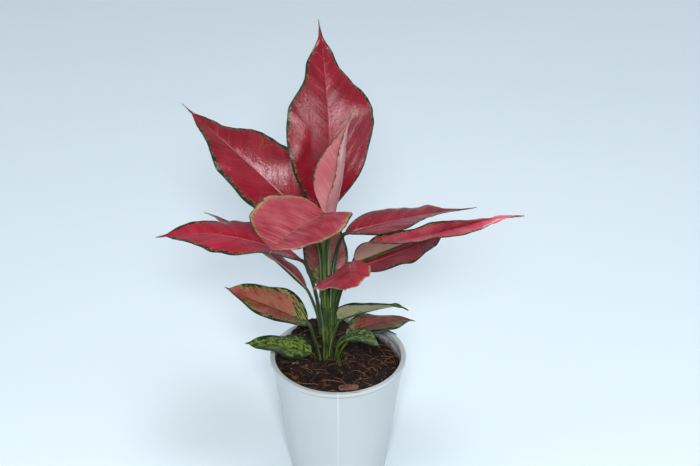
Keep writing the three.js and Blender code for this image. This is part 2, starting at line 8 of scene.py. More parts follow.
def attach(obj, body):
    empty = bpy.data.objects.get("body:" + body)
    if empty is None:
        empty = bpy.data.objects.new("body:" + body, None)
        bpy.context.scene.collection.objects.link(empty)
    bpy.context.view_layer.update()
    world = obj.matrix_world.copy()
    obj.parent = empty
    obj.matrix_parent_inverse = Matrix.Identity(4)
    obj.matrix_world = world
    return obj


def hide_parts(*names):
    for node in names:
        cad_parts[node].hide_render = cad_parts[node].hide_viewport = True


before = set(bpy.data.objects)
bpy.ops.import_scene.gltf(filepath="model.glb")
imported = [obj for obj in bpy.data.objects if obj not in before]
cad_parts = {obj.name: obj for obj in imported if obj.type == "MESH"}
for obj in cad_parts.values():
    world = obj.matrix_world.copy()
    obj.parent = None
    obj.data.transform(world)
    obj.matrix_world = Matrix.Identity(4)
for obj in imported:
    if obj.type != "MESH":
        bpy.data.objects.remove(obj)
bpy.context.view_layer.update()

mm = 0.001
print("frame loaded")


# camera, lights and floor

view = {"place": (0.0097, -1.3195, 1.0503), "pitch": 58.0, "lens": 102.857, "sensor": 36.0}
lights = {
    "key": {"place": (0.02, -1.35, 1.22), "size": 0.3, "power": 20.0, "colour": (1.0, 0.985, 0.97)},
    "gleam": {"place": (0.97, -0.49, 0.39), "size": 0.4, "power": 8.5, "colour": (0.96, 0.97, 1.0),
              "diffuse": False},
    "topGleam": {"place": (0.1, -0.13, 1.64), "size": 0.5, "power": 19.0, "colour": (0.96, 0.97, 1.0),
                 "diffuse": False},
    "top": {"place": (0.1, -0.15, 1.7), "size": 0.5, "power": 7.0, "colour": (0.96, 0.98, 1.0)},
    "left": {"place": (-1.5, -0.6, 0.9), "size": 1.4, "power": 5.0, "colour": (0.92, 0.96, 1.0),
             "glossy": False},
    "right": {"place": (1.5, -0.6, 0.9), "size": 1.4, "power": 4.0, "colour": (0.92, 0.96, 1.0),
              "glossy": False},
    "back": {"place": (0.9, 1.3, 1.6), "size": 1.0, "power": 2.0, "colour": (0.95, 0.98, 1.0),
             "glossy": False},
}
sky = {"colour": (0.80, 0.89, 0.96), "strength": 0.42}


def deselectAll():
    for thing in bpy.context.selected_objects:
        thing.select_set(False)


def latest(name):
    thing = bpy.context.object
    thing.name = name
    return thing


def aimAt(thing, target):
    direction = Vector(target) - thing.location
    thing.rotation_euler = direction.to_track_quat("-Z", "Y").to_euler()


bpy.ops.object.camera_add(location=view["place"], rotation=(math.radians(view["pitch"]), 0, 0))
camera = latest("camera")
camera.data.sensor_width = view["sensor"]
camera.data.lens = view["lens"]
camera.data.clip_start = 0.01
camera.data.clip_end = 50
bpy.context.scene.camera = camera

for lightName, light in lights.items():
    bpy.ops.object.light_add(type="AREA", location=light["place"])
    lamp = latest(lightName)
    lamp.data.shape = "DISK"
    lamp.data.size = light["size"]
    lamp.data.energy = light["power"]
    lamp.data.color = light["colour"]
    lamp.visible_diffuse = light.get("diffuse", True)
    lamp.visible_glossy = light.get("glossy", True)
    aimAt(lamp, (0, 0, 0.2))

world = bpy.data.worlds.new("softSky")
world.use_nodes = True
background = world.node_tree.nodes["Background"].inputs
background["Color"].default_value = (*sky["colour"], 1)
background["Strength"].default_value = sky["strength"]
bpy.context.scene.world = world
bpy.context.scene.view_settings.view_transform = "Standard"
bpy.context.scene.view_settings.look = "None"


# small node helpers: a node goes into the tree that its values come from

def newMaterial(name):
    material = bpy.data.materials.new(name)
    material.use_nodes = True
    return material, material.node_tree, material.node_tree.nodes["Principled BSDF"]


def newGroup(name, inputs, outputs):
    # inputs and outputs give a sample of each: three numbers for a colour, one for a value
    group = bpy.data.node_groups.new(name, "ShaderNodeTree")
    for way, samples in (("INPUT", inputs), ("OUTPUT", outputs)):
        for label, sample in samples.items():
            kind = "NodeSocketColor" if isinstance(sample, tuple) else "NodeSocketFloat"
            group.interface.new_socket(name=label, in_out=way, socket_type=kind)
    return group, group.nodes.new("NodeGroupInput").outputs, group.nodes.new("NodeGroupOutput").inputs


def feed(socket, value):
    if isinstance(value, bpy.types.NodeSocket):
        socket.id_data.links.new(value, socket)
    elif isinstance(value, tuple) and len(socket.default_value) == 4:
        socket.default_value = (*value, 1)
    else:
        socket.default_value = value


def addNode(kind, *values):
    tree = next(value.id_data for value in values if isinstance(value, bpy.types.NodeSocket))
    return tree.nodes.new(kind)


def placeGroup(tree, group, values):
    node = tree.nodes.new("ShaderNodeGroup")
    node.node_tree = group
    for label, value in values.items():
        feed(node.inputs[label], value)
    return node.outputs


def calc(operation, *values):
    node = addNode("ShaderNodeMath", *values)
    node.operation = operation
    for socket, value in zip(node.inputs, values):
        feed(socket, value)
    return node.outputs[0]


def times(first, *others):
    for other in others:
        first = calc("MULTIPLY", first, other)
    return first


def plus(first, second):
    return calc("ADD", first, second)


def minus(first, second):
    return calc("SUBTRACT", first, second)


def scaled(value, factor, offset):
    return calc("MULTIPLY_ADD", value, factor, offset)


def weighted(*parts):
    total = 0.0
    for value, weight in parts:
        total = scaled(value, weight, total)
    return total


def fade(value, low, high, start=0.0, end=1.0):
    node = addNode("ShaderNodeMapRange", value)
    node.interpolation_type = "SMOOTHSTEP"
    for label, number in (("Value", value), ("From Min", low), ("From Max", high),
                          ("To Min", start), ("To Max", end)):
        feed(node.inputs[label], number)
    return node.outputs[0]


def blend(share, first, second):
    node = addNode("ShaderNodeMix", share, first, second)
    node.data_type = "RGBA"
    for place, value in ((0, share), (6, first), (7, second)):
        feed(node.inputs[place], value)
    return node.outputs[2]


def vectorOf(x, y, z):
    node = addNode("ShaderNodeCombineXYZ", x, y, z)
    for socket, value in zip(node.inputs, (x, y, z)):
        feed(socket, value)
    return node.outputs[0]


def partsOf(vector):
    node = addNode("ShaderNodeSeparateXYZ", vector)
    feed(node.inputs[0], vector)
    return node.outputs


def grainAt(vector, scale, detail=2.0, roughness=0.5, warp=0.0):
    node = addNode("ShaderNodeTexNoise", vector)
    for label, value in (("Vector", vector), ("Scale", scale), ("Detail", detail),
                         ("Roughness", roughness), ("Distortion", warp)):
        feed(node.inputs[label], value)
    return node.outputs[0]


def attributeOf(tree, name, output="Vector"):
    node = tree.nodes.new("ShaderNodeAttribute")
    node.attribute_name = name
    return node.outputs[output]


def objectPlace(tree):
    return tree.nodes.new("ShaderNodeTexCoord").outputs["Object"]


def cover(shader, colour, roughness, specular=0.5, height=None, strength=1.0, distance=0.0):
    if height is not None:
        bump = addNode("ShaderNodeBump", height)
        bump.inputs["Strength"].default_value = strength
        bump.inputs["Distance"].default_value = distance
        feed(bump.inputs["Height"], height)
        feed(shader.inputs["Normal"], bump.outputs[0])
    feed(shader.inputs["Base Color"], colour)
    feed(shader.inputs["Roughness"], roughness)
    feed(shader.inputs["Specular IOR Level"], specular)


# small mesh helpers

def smooth(low, high, x):
    t = min(max((x - low) / (high - low), 0), 1)
    return t * t * (3 - 2 * t)


def between(a, b, t):
    return a + (b - a) * t


def around(angle, radius):
    return radius * math.cos(angle), radius * math.sin(angle)


def chooseOnly(*pieces):
    deselectAll()
    for piece in pieces:
        piece.select_set(True)
    bpy.context.view_layer.objects.active = pieces[0]


def shapedGrid(name, columns, rows, place):
    # a grid whose points are each moved to where place(across, along) says, both counted from 0
    deselectAll()
    bpy.ops.mesh.primitive_grid_add(x_subdivisions=columns, y_subdivisions=rows, size=2)
    piece = latest(name)
    for point in piece.data.vertices:
        column = round((point.co.x + 1) / 2 * columns)
        row = round((point.co.y + 1) / 2 * rows)
        point.co = place(column, row)
    return piece


def setValues(mesh, name, values, domain="POINT"):
    if isinstance(values[0], tuple):
        numbers = [number for value in values for number in value]
        mesh.attributes.new(name, "FLOAT_VECTOR", domain).data.foreach_set("vector", numbers)
    else:
        mesh.attributes.new(name, "FLOAT", domain).data.foreach_set("value", values)


def editMesh(piece, *steps):
    chooseOnly(piece)
    bpy.ops.object.mode_set(mode="EDIT")
    for step in steps:
        bpy.ops.mesh.select_all(action="SELECT")
        step()
    bpy.ops.object.mode_set(mode="OBJECT")


def closeSeams():
    bpy.ops.mesh.remove_doubles(threshold=1e-6)
    bpy.ops.mesh.select_all(action="DESELECT")
    bpy.ops.mesh.select_non_manifold(extend=False, use_wire=False, use_multi_face=False,
                                     use_non_contiguous=False, use_verts=False)
    bpy.ops.mesh.fill_holes(sides=0)


def faceOutwards():
    bpy.ops.mesh.normals_make_consistent(inside=False)


def applyAll(piece):
    chooseOnly(piece)
    for modifier in list(piece.modifiers):
        bpy.ops.object.modifier_apply(modifier=modifier.name)


def joinInto(piece, others):
    chooseOnly(piece, *others)
    bpy.ops.object.join()
    return piece


def smoothShade(piece, angle=50):
    chooseOnly(piece)
    bpy.ops.object.shade_smooth_by_angle(angle=math.radians(angle))


def finishPiece(piece, material, node, slotName):
    if material:
        piece.data.materials.clear()
        piece.data.materials.append(material)
    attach(piece, "root")
    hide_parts(node)


# leaf and stalk finishes, which follow the blade's own measures in millimetres:
# leafPlace is the way along the rib, across from it, and in from the edge

veins = {"slant": 0.75, "bend": 0.008, "quiltSpacing": 13.0}
wornTip = (0.30, 0.27, 0.13)
darkFreckle = (0.02, 0.01, 0.01)
plainLook = {"Margin Start": -1.0, "Turned Edge": 0.0, "Patch Along": 0.0, "Patch Across": 0.0,
             "Patch Reach": 0.01, "Shift": 0.0}
leafLooks = {
    "red": {"Deep": (0.215, 0.004, 0.013), "Light": (0.31, 0.015, 0.032), "Under": (0.30, 0.21, 0.155),
            "Rib": (0.42, 0.21, 0.19), "Rib Strength": 0.65, "Rib End": 0.7,
            "Vein": (0.40, 0.07, 0.09), "Vein Strength": 0.24, "Vein Spacing": 13.0,
            "Margin": (0.008, 0.028, 0.012), "Margin Width": 1.9,
            "Fleck": (0.20, 0.21, 0.055), "Fleck Reach": 4.8, "Fleck Amount": 1.25, "Fleck Stretch": 0.22,
            "Mottle": 0.1, "Base Mottle": 0.2, "Dark Share": 0.52, "Edge Light": 0.2, "Roughness": 0.21},
    "pink": {"Deep": (0.33, 0.022, 0.042), "Light": (0.46, 0.09, 0.11), "Under": (0.38, 0.18, 0.19),
             "Rib": (0.25, 0.19, 0.07), "Rib Strength": 0.85, "Rib End": 0.8,
             "Vein": (0.60, 0.24, 0.24), "Vein Strength": 0.6, "Vein Spacing": 12.0,
             "Margin": (0.045, 0.075, 0.02), "Margin Width": 0.9,
             "Fleck": (0.40, 0.32, 0.14), "Fleck Reach": 4.5, "Fleck Amount": 1.4, "Fleck Stretch": 0.3,
             "Mottle": 0.08, "Base Mottle": 0.12, "Dark Share": 0.15, "Edge Light": 0.8, "Roughness": 0.3},
    "salmon": {"Deep": (0.29, 0.035, 0.032), "Light": (0.40, 0.15, 0.10), "Under": (0.40, 0.30, 0.17),
               "Rib": (0.07, 0.03, 0.02), "Rib Strength": 1.0, "Rib End": 0.95,
               "Vein": (0.14, 0.16, 0.04), "Vein Strength": 0.3, "Vein Spacing": 11.0,
               "Margin": (0.008, 0.032, 0.012), "Margin Width": 1.9,
               "Fleck": (0.20, 0.28, 0.07), "Fleck Reach": 8.0, "Fleck Amount": 1.5, "Fleck Stretch": 0.36,
               "Mottle": 0.3, "Base Mottle": 1.0, "Dark Share": 0.5, "Edge Light": 0.3, "Roughness": 0.4},
    "green": {"Deep": (0.10, 0.17, 0.018), "Light": (0.23, 0.33, 0.045), "Under": (0.35, 0.34, 0.17),
              "Rib": (0.07, 0.13, 0.02), "Rib Strength": 0.5, "Rib End": 0.8,
              "Vein": (0.012, 0.045, 0.012), "Vein Strength": 0.75, "Vein Spacing": 6.0,
              "Margin": (0.006, 0.030, 0.013), "Margin Width": 3.6,
              "Fleck": (0.26, 0.07, 0.03), "Fleck Reach": 4.5, "Fleck Amount": 1.2, "Fleck Stretch": 0.42,
              "Mottle": 0.7, "Base Mottle": 0.7, "Dark Share": 0.95, "Edge Light": 0.0, "Roughness": 0.36},
}
leafSlots = {"red": "leaf_red", "pink": "leaf_pink", "salmon": "leaf_mixed", "green": "leaf_green"}


def buildLeafPattern():
    group, given, out = newGroup("leafPattern", {**plainLook, **leafLooks["red"]},
                                 {"Colour": wornTip, "Roughness": 0.0, "Height": 0.0})
    along, across, edge = partsOf(attributeOf(group, "leafPlace"))
    share = attributeOf(group, "leafShare", "Fac")
    under = attributeOf(group, "leafUnder", "Fac")
    side = calc("ABSOLUTE", across)
    half = plus(side, edge)
    left = calc("GREATER_THAN", across, 0.0)
    flat = vectorOf(along, across, given["Shift"])
    wander = grainAt(flat, 0.05)
    # side veins leave the rib aslant and bend towards the tip; those of the two halves alternate
    course = minus(minus(along, times(side, veins["slant"])), times(side, side, veins["bend"]))
    course = scaled(left, times(given["Vein Spacing"], 0.5), course)
    course = scaled(wander, 5.0, course)
    vein = calc("SINE", calc("DIVIDE", times(course, math.tau), given["Vein Spacing"]))
    sided = scaled(left, 9.0, given["Shift"])

    def alongVeins(onward, outward, shift, detail, roughness=0.5):
        # grain that is drawn out along the side veins
        return grainAt(vectorOf(times(course, onward), times(side, outward), shift), 1.0, detail, roughness)

    streaks = alongVeins(0.11, 0.035, sided, 4.0, 0.6)
    lit = weighted((wander, 0.4), (streaks, 0.6))
    body = blend(fade(lit, 0.38, 0.62), given["Deep"], given["Light"])
    nearEdge = calc("EXPONENT", calc("DIVIDE", times(edge, -1.0), given["Fleck Reach"]))
    body = blend(times(nearEdge, given["Edge Light"]), body, given["Light"])
    body = blend(times(under, 0.82), body, given["Under"])
    fine = grainAt(flat, 1.3, 3.0)
    body = blend(fade(fine, 0.35, 0.7, 0.0, 0.16), body, darkFreckle)
    # thin side veins and the midrib
    veinLine = times(fade(vein, 0.93, 1.0), fade(side, 22.0, 3.0), fade(edge, 1.5, 5.0),
                     minus(1.0, under), given["Vein Strength"])
    body = blend(veinLine, body, given["Vein"])
    ribLine = fade(calc("DIVIDE", side, scaled(share, -0.75, 0.95)), 1.0, 0.5)
    ribShare = fade(calc("DIVIDE", share, given["Rib End"]), 1.2, 0.75, 0.1, 1.0)
    body = blend(times(ribLine, ribShare, given["Rib Strength"]), body, given["Rib"])
    # ragged spots along the edge and in one patch
    started = fade(minus(share, given["Margin Start"]), 0.0, 0.12)
    topOnly = scaled(under, -0.6, 1.0)
    atEdge = times(given["Fleck Amount"], nearEdge, fade(half, 3.0, 12.0), started)
    offAlong = calc("DIVIDE", minus(along, given["Patch Along"]), given["Patch Reach"])
    offAcross = calc("DIVIDE", minus(across, given["Patch Across"]), given["Patch Reach"])
    offPatch = plus(times(offAlong, offAlong), times(offAcross, offAcross))
    atPatch = times(calc("EXPONENT", times(offPatch, -1.0)), 0.72)
    spotBar = scaled(times(calc("MAXIMUM", atEdge, atPatch), topOnly), -0.34, 0.76)
    spots = fade(grainAt(flat, 0.55, 4.0, 0.7, 0.5), spotBar, plus(spotBar, 0.05))
    # flecks that lie along the veins further in, some dark and some light
    crowd = calc("MAXIMUM", given["Mottle"], times(given["Base Mottle"], fade(share, 0.42, 0.05)))
    bar = scaled(times(crowd, topOnly), -0.36, 0.74)
    specks = alongVeins(0.42, given["Fleck Stretch"], sided, 3.0, 0.62)
    flecks = calc("MAXIMUM", fade(specks, bar, plus(bar, 0.035)), spots)
    darkBar = scaled(given["Dark Share"], -0.4, 0.68)
    dark = fade(alongVeins(0.5, 0.28, plus(sided, 31.0), 2.0), darkBar, plus(darkBar, 0.05))
    body = blend(times(flecks, 0.9), body, blend(dark, given["Fleck"], given["Margin"]))
    # the green edge, wider and narrower along the blade; the left edge can be turned over
    width = times(given["Margin Width"], fade(grainAt(flat, 0.22, 3.0, 0.6), 0.34, 0.68, 0.3, 1.9),
                  fade(half, 0.0, 11.0, 0.12, 1.0))
    turned = times(given["Turned Edge"], left, fade(share, 0.75, 0.45), fade(share, 0.0, 0.08))
    border = fade(calc("DIVIDE", edge, plus(width, turned)), 1.1, 0.75)
    body = blend(times(border, started), body, given["Margin"])
    feed(out["Colour"], blend(fade(share, 0.955, 0.99, 0.0, 0.6), body, wornTip))
    feed(out["Roughness"], fade(streaks, 0.3, 0.7, plus(given["Roughness"], 0.08),
                                minus(given["Roughness"], 0.06)))
    wrinkles = alongVeins(0.5, 0.12, sided, 3.0, 0.6)
    leather = grainAt(flat, 0.42, 4.0, 0.62, 0.4)
    feed(out["Height"], weighted((fine, 0.22), (vein, 0.12), (wrinkles, 0.8), (leather, 1.1),
                                 (ribLine, -0.5)))
    return group


leafPattern = buildLeafPattern()


def leafMaterial(name, leaf, shift):
    material, tree, shader = newMaterial(name)
    look = {**plainLook, **leafLooks[leaf["kind"]], **leaf.get("look", {}), "Shift": shift}
    out = placeGroup(tree, leafPattern, look)
    cover(shader, out["Colour"], out["Roughness"], 0.22, out["Height"], 0.6, 0.0004)
    return material


stalkLook = {"Green": (0.018, 0.045, 0.009), "Pale": (0.10, 0.15, 0.03), "Sheath": (0.26, 0.26, 0.15),
             "Shift": 0.0}
stalkBlot = (0.02, 0.055, 0.012)


def buildStalkPattern():
    group, given, out = newGroup("stalkPattern", stalkLook, {"Colour": stalkBlot, "Height": 0.0})
    along, beside, above = partsOf(attributeOf(group, "stalkPlace"))
    share = attributeOf(group, "stalkShare", "Fac")
    drawnOut = vectorOf(times(along, 0.035), times(beside, 1.6), scaled(above, 1.6, given["Shift"]))
    streak = grainAt(drawnOut, 1.4, 3.0, 0.6)
    body = blend(fade(streak, 0.42, 0.68), given["Green"], given["Pale"])
    blot = grainAt(vectorOf(times(along, 0.16), beside, plus(above, given["Shift"])), 1.7, 3.0, 0.6)
    body = blend(fade(blot, 0.56, 0.7, 0.0, 0.6), body, stalkBlot)
    # the pale lips of the sheath, on both sides of the channel
    lips = times(fade(calc("ABSOLUTE", beside), 0.66, 0.88), fade(above, 0.0, 0.35),
                 fade(share, 0.62, 0.3), 0.75)
    feed(out["Colour"], blend(lips, body, given["Sheath"]))
    feed(out["Height"], weighted((streak, 0.8), (blot, 0.2)))
    return group


stalkPattern = buildStalkPattern()


def stalkMaterial(name, shift, changes):
    material, tree, shader = newMaterial(name)
    out = placeGroup(tree, stalkPattern, {**stalkLook, **changes, "Shift": shift})
    cover(shader, out["Colour"], 0.34, 0.2, out["Height"], 0.5, 0.0004)
    return material


# leaves: lengths in millimetres, angles in degrees, as the plant grew

plantRoot = 92.0
blade = {"thickness": 0.55, "stalkTaper": 0.75, "dripWidth": 0.07, "tipHalf": 0.5, "pointSlope": 0.08,
         "foldedFrom": 9.0, "openAtEnds": 0.35, "columns": 44, "rowLength": 1.7, "fewestRows": 34}
relief = {"quilt": 0.16, "ruffle": 1.6, "ruffleGrain": 0.09, "trough": 0.4, "troughWidth": 1.4,
          "fullFrom": 24.0, "fullTroughFrom": 6.0}
stalk = {"flatness": 0.55, "sheathShare": 0.4, "sheathSpread": 0.3, "sides": 16, "rows": 36,
         "ribEnd": 0.94, "ribRows": 40, "channel": 0.28, "channelWidth": 0.5}

darkStalk = {"Green": (0.012, 0.03, 0.01), "Pale": (0.035, 0.065, 0.02)}
freshStalk = {"Green": (0.04, 0.09, 0.012), "Pale": (0.12, 0.20, 0.03)}
freshGreen = {"Deep": (0.11, 0.19, 0.03), "Light": (0.24, 0.36, 0.07), "Fleck Stretch": 0.6,
              "Vein Spacing": 4.5}

leafGroups = {"lie": ("heading", "sweep", "rise", "droop", "tipDroop"),
              "outline": ("length", "width", "skew", "shoulder", "taper", "drip"),
              "turns": ("roll", "twist", "foldL", "foldR", "curlL", "curlR"),
              "ruffle": ("wave", "waves", "phaseL", "phaseR")}
leaves = {
    "crownLeaf": dict(
        node="leaf_crown", kind="red",
        look={"Deep": (0.185, 0.003, 0.011), "Light": (0.27, 0.012, 0.027), "Rib End": 0.45,
              "Rib Strength": 0.32, "Patch Along": 80.0, "Patch Across": -25.0, "Patch Reach": 8.0},
        root=(-8.4, 5.6, 190), stalk=2.6, base=(-5, 20, 233.7),
        lie=(102, -1, 95, 48, -3), outline=(155, 80, -0.01, 0.45, 1.25, 0.08),
        turns=(11, 9, 18, -2, 12, 20), ruffle=(3.4, 2.7, 130, 300),
        edgeL=((0.03, 1.3), (0.1, 1.18), (0.2, 0.98), (0.5, 1), (0.6, 1.06), (0.71, 0.92), (0.8, 1.12)),
        edgeR=((0.25, 1), (0.4, 1.07), (0.6, 1.09), (0.7, 0.98), (0.77, 0.84), (0.85, 1))),
    "unfurlingLeaf": dict(
        node="leaf_unfurling", kind="pink",
        stalkLook={"Green": (0.06, 0.1, 0.02), "Pale": (0.25, 0.23, 0.12)},
        look={"Margin Start": 0.27, "Rib Strength": 0.0, "Margin Width": 0.9, "Fleck Amount": 0.6,
              "Light": (0.52, 0.19, 0.2), "Deep": (0.44, 0.11, 0.14), "Edge Light": 0.4},
        root=(-8, 0.2, 188), stalk=2.4, base=(-5.7, -7.2, 234.7),
        lie=(46, -6, 82, 10.5, 7.5), outline=(96, 39, -0.04, 0.44, 1.15, 0.09),
        turns=(-9.5, 5, 28, -22, -6, -153), ruffle=(2.1, 1.8, 157, 301),
        edgeL=((0.1, 0.78), (0.28, 0.95), (0.5, 0.93), (0.7, 1))),
    "frontLeaf": dict(
        node="leaf_front", kind="pink",
        root=(-11, -4, 160), stalk=2.2, base=(-9.5, -19, 255), bend=0.05,
        lie=(240, 15.5, 14.5, 1.5, 3), outline=(105, 70.5, 0.09, 0.57, 0.17, 0.07),
        turns=(5, -12.3, 21.7, 34, 11.7, 3), ruffle=(1.8, 1.6, 346, 215),
        edgeL=((0.8, 1), (0.94, 0.72)), edgeR=((0.8, 1), (0.94, 0.8))),
    "upperRightLeaf": dict(
        node="leaf_upper_right", kind="red", stalkLook=darkStalk,
        root=(-5.5, -3, 160), stalk=2.3, base=(6, 0, 225.5), bend=0.1,
        lie=(13, 8, 11, 18, -2), outline=(109, 50, 0.01, 0.41, 1.03, 0.12),
        turns=(-6, -15, 11, 17, 17, 14), ruffle=(0.9, 1.6, 350, 80),
        edgeL=((0.6, 1), (0.7, 1.45), (0.78, 0.55), (0.9, 0.8)),
        edgeR=((0.05, 1), (0.2, 1.35), (0.4, 1.3), (0.55, 0.95), (0.7, 1))),
    "upperLeftLeaf": dict(
        node="leaf_upper_left", kind="red",
        look={"Margin Width": 2.3, "Fleck Amount": 1.5, "Deep": (0.19, 0.004, 0.012),
              "Light": (0.28, 0.015, 0.03), "Patch Along": 62.0, "Patch Across": -23.0,
              "Patch Reach": 13.0, "Fleck": (0.13, 0.13, 0.05)},
        root=(-12, 5.5, 162), stalk=2.2, base=(-29, 12, 238),
        lie=(147, -8, 31, 12, -4), outline=(132, 65, -0.09, 0.39, 1.13, 0.09),
        turns=(-23, 51, 9, 16, 18, 13), ruffle=(2.1, 3.1, 60, 180)),
    "longRightLeaf": dict(
        node="leaf_long_right", kind="red",
        # its reds are much lighter than on the other red leaves: painted light that makes up for the shade
        # inside its deep fold
        look={"Deep": (0.52, 0.06, 0.1), "Light": (0.62, 0.14, 0.18), "Margin Width": 0.7,
              "Rib Strength": 0.0},
        root=(-4, 1.5, 140), stalk=2.6, base=(13.5, -3, 200.5), leave=0.25, bend=0.12,
        lie=(-12, 0, 32, 12, 13), outline=(145, 50, -0.37, 0.43, 1.02, 0.11),
        turns=(0, 72, 89, 67, 15, 18), ruffle=(3.5, 2.3, 300, 330)),
    "innerRightLeaf": dict(
        node="leaf_inner_right", kind="red",
        look={"Deep": (0.27, 0.005, 0.016), "Light": (0.37, 0.018, 0.038)},
        root=(-4, 6, 140), stalk=2.1, base=(9.5, 2, 190), leave=0.25, bend=0.15,
        lie=(17, 18, 10, 6, -2), outline=(92, 48, 0, 0.43, 1.02, 0.11),
        turns=(-4, 4, 15, 18, 15, 14), ruffle=(1.7, 3.2, 0, 70)),
    "leftLeaf": dict(
        node="leaf_left", kind="red", stalkLook=darkStalk,
        look={"Deep": (0.33, 0.004, 0.019), "Light": (0.44, 0.02, 0.046), "Margin Width": 2.5},
        root=(-13, 0, 138), stalk=2.4, base=(-27, -8.5, 205.5), leave=0.25, bend=0.1,
        lie=(173, -11, 28, 51, 0), outline=(124, 56, 0.01, 0.46, 0.99, 0.08),
        turns=(12, -24, 16, 7, 14, 19), ruffle=(3.1, 1.8, 330, 250)),
    "backLeftLeaf": dict(
        node="leaf_back_left", kind="red",
        look={"Deep": (0.31, 0.005, 0.018), "Light": (0.41, 0.02, 0.045), "Roughness": 0.45,
              "Margin": (0.27, 0.2, 0.13), "Margin Width": 0.7, "Turned Edge": 4.5, "Fleck Amount": 0.7},
        root=(-13, 5, 128), stalk=1.9, base=(-25, 8.5, 168.5), leave=0.25, bend=0.12,
        lie=(142, -10, 28, 33, 9), outline=(122, 49, 0.02, 0.43, 0.99, 0.09),
        turns=(28, -5, 26, 6, 10, 19), ruffle=(2.1, 2.3, 30, 20)),
    "backLeaf": dict(
        node="leaf_back", kind="red",
        # its deep red is darker than on the other red leaves: painted shade from the leaves over it
        look={"Deep": (0.16, 0.008, 0.012), "Light": (0.36, 0.1, 0.09), "Fleck": (0.12, 0.19, 0.05),
              "Edge Light": 0.5, "Roughness": 0.42, "Base Mottle": 0.95, "Fleck Stretch": 0.36,
              "Dark Share": 0.6},
        root=(-7, 8, 138), stalk=2, base=(-13, 12, 168),
        lie=(89, 1, 40, 15, -1), outline=(86, 39, -0.07, 0.35, 0.98, 0.11),
        turns=(9, 4, 29, 7, 9, 19), ruffle=(1.6, 1.7, 270, 330)),
    "smallFrontLeaf": dict(
        node="leaf_small_front", kind="red",
        look={"Rib Strength": 0.2, "Margin": (0.3, 0.18, 0.12), "Margin Width": 1.0,
              "Deep": (0.28, 0.015, 0.028), "Light": (0.42, 0.05, 0.07), "Fleck Amount": 0.6,
              "Margin Start": 0.12},
        root=(-4.5, -3, 150), stalk=1.9, base=(8.4, -14, 207.5), bend=0.1,
        lie=(282, -29, 21, 25, -5), outline=(54, 47, -0.37, 0.41, 0.91, 0.03),
        turns=(6, -10, 11, -16, 17, 18), ruffle=(1.9, 3.3, 20, 170)),
    "foldedRightLeaf": dict(
        node="leaf_folded_right", kind="green",
        look={"Under": (0.36, 0.33, 0.21), "Margin Width": 0.9, "Fleck Amount": 0.9, "Mottle": 1.05,
              "Base Mottle": 1.25, "Fleck": (0.13, 0.21, 0.05), "Dark Share": 0.3, "Fleck Stretch": 0.3,
              "Deep": (0.2, 0.07, 0.03)},
        root=(-6.5, -3, 112), stalk=2, base=(2, -6.7, 149.5), leave=0.25, bend=0.1,
        lie=(-17, 5, 31, 17, 46), outline=(60.5, 33, -0.1, 0.34, 0.95, 0.1),
        turns=(15, 23, 94, 76, 0, 0), ruffle=(0.9, 1.4, 0, 30)),
    "lowLeftLeaf": dict(
        node="leaf_low_left", kind="salmon", stalkLook={"Pale": (0.09, 0.13, 0.04)},
        root=(-13.4, 1, plantRoot), stalk=2.5, base=(-24, -3.5, 143.5), leave=0.25, bend=0.1,
        lie=(184, -1, 31, 7, -16), outline=(75, 42, -0.01, 0.39, 0.84, 0.05),
        turns=(-1, -6, 19, 26, 13, 10), ruffle=(2.8, 1.2, 20, 30)),
    "soilLeftLeaf": dict(
        node="leaf_soil_left", kind="green",
        root=(-19.8, -1.5, plantRoot), stalk=1.1, base=(-21.5, -5, 115),
        lie=(167, -6, 10, 21, 9), outline=(57, 33, 0, 0.38, 0.89, 0.07),
        turns=(1, 4, 15, 16, 15, 15), ruffle=(2.4, 1.3, 220, 30)),
    "lowRightLeaf": dict(
        node="leaf_low_right", kind="salmon",
        look={"Deep": (0.19, 0.022, 0.024), "Light": (0.25, 0.06, 0.045), "Fleck": (0.17, 0.23, 0.07)},
        root=(-2.2, 1.5, plantRoot), stalk=1.5, base=(6.4, -0.4, 129.4),
        lie=(18, 13, 18, 43, 4), outline=(64, 36, 0.01, 0.42, 0.98, 0.08),
        turns=(-6, -6, 14, 18, 15, 14), ruffle=(2.7, 1.2, 30, 10)),
    "curledRightLeaf": dict(
        node="leaf_curled_right", kind="green", stalkLook=freshStalk,
        look={**freshGreen, "Margin Width": 1.4, "Mottle": 0.78},
        root=(2.6, -7.5, plantRoot), stalk=1.5, base=(4.2, -21, 138.3),
        lie=(4, 0, 42, 115, 8), outline=(36, 23, -0.03, 0.47, 0.96, 0.07),
        turns=(-9, 17, 7, 12, 19, 16), ruffle=(0.8, 1.5, 140, 250)),
    "narrowRightLeaf": dict(
        node="leaf_narrow_right", kind="green", stalkLook=freshStalk,
        look={**freshGreen, "Mottle": 0.82},
        root=(-2.5, -3.5, plantRoot), stalk=1.2, base=(10, -5, 128), leave=0.25,
        lie=(36, -14, 8.5, 39, 16), outline=(46, 17, 0, 0.4, 1, 0.1),
        turns=(-7, 2, 15, 20, 15, 13), ruffle=(0.6, 3.2, 270, 330)),
}
for leaf in leaves.values():
    for group, labels in leafGroups.items():
        leaf.update(zip(labels, leaf[group]))


def ribDirection(leaf, s):
    heading = math.radians(leaf["heading"] + leaf["sweep"] * s)
    slope = math.radians(leaf["rise"] - leaf["droop"] * s - leaf["tipDroop"] * smooth(0.75, 1, s))
    level = math.cos(slope)
    return Vector((level * math.cos(heading), level * math.sin(heading), math.sin(slope)))


def ribPoints(leaf, steps=120):
    point = Vector(leaf["base"])
    points = [point.copy()]
    for step in range(steps):
        point = point + ribDirection(leaf, (step + 0.5) / steps) * (leaf["length"] / steps)
        points.append(point.copy())
    return points


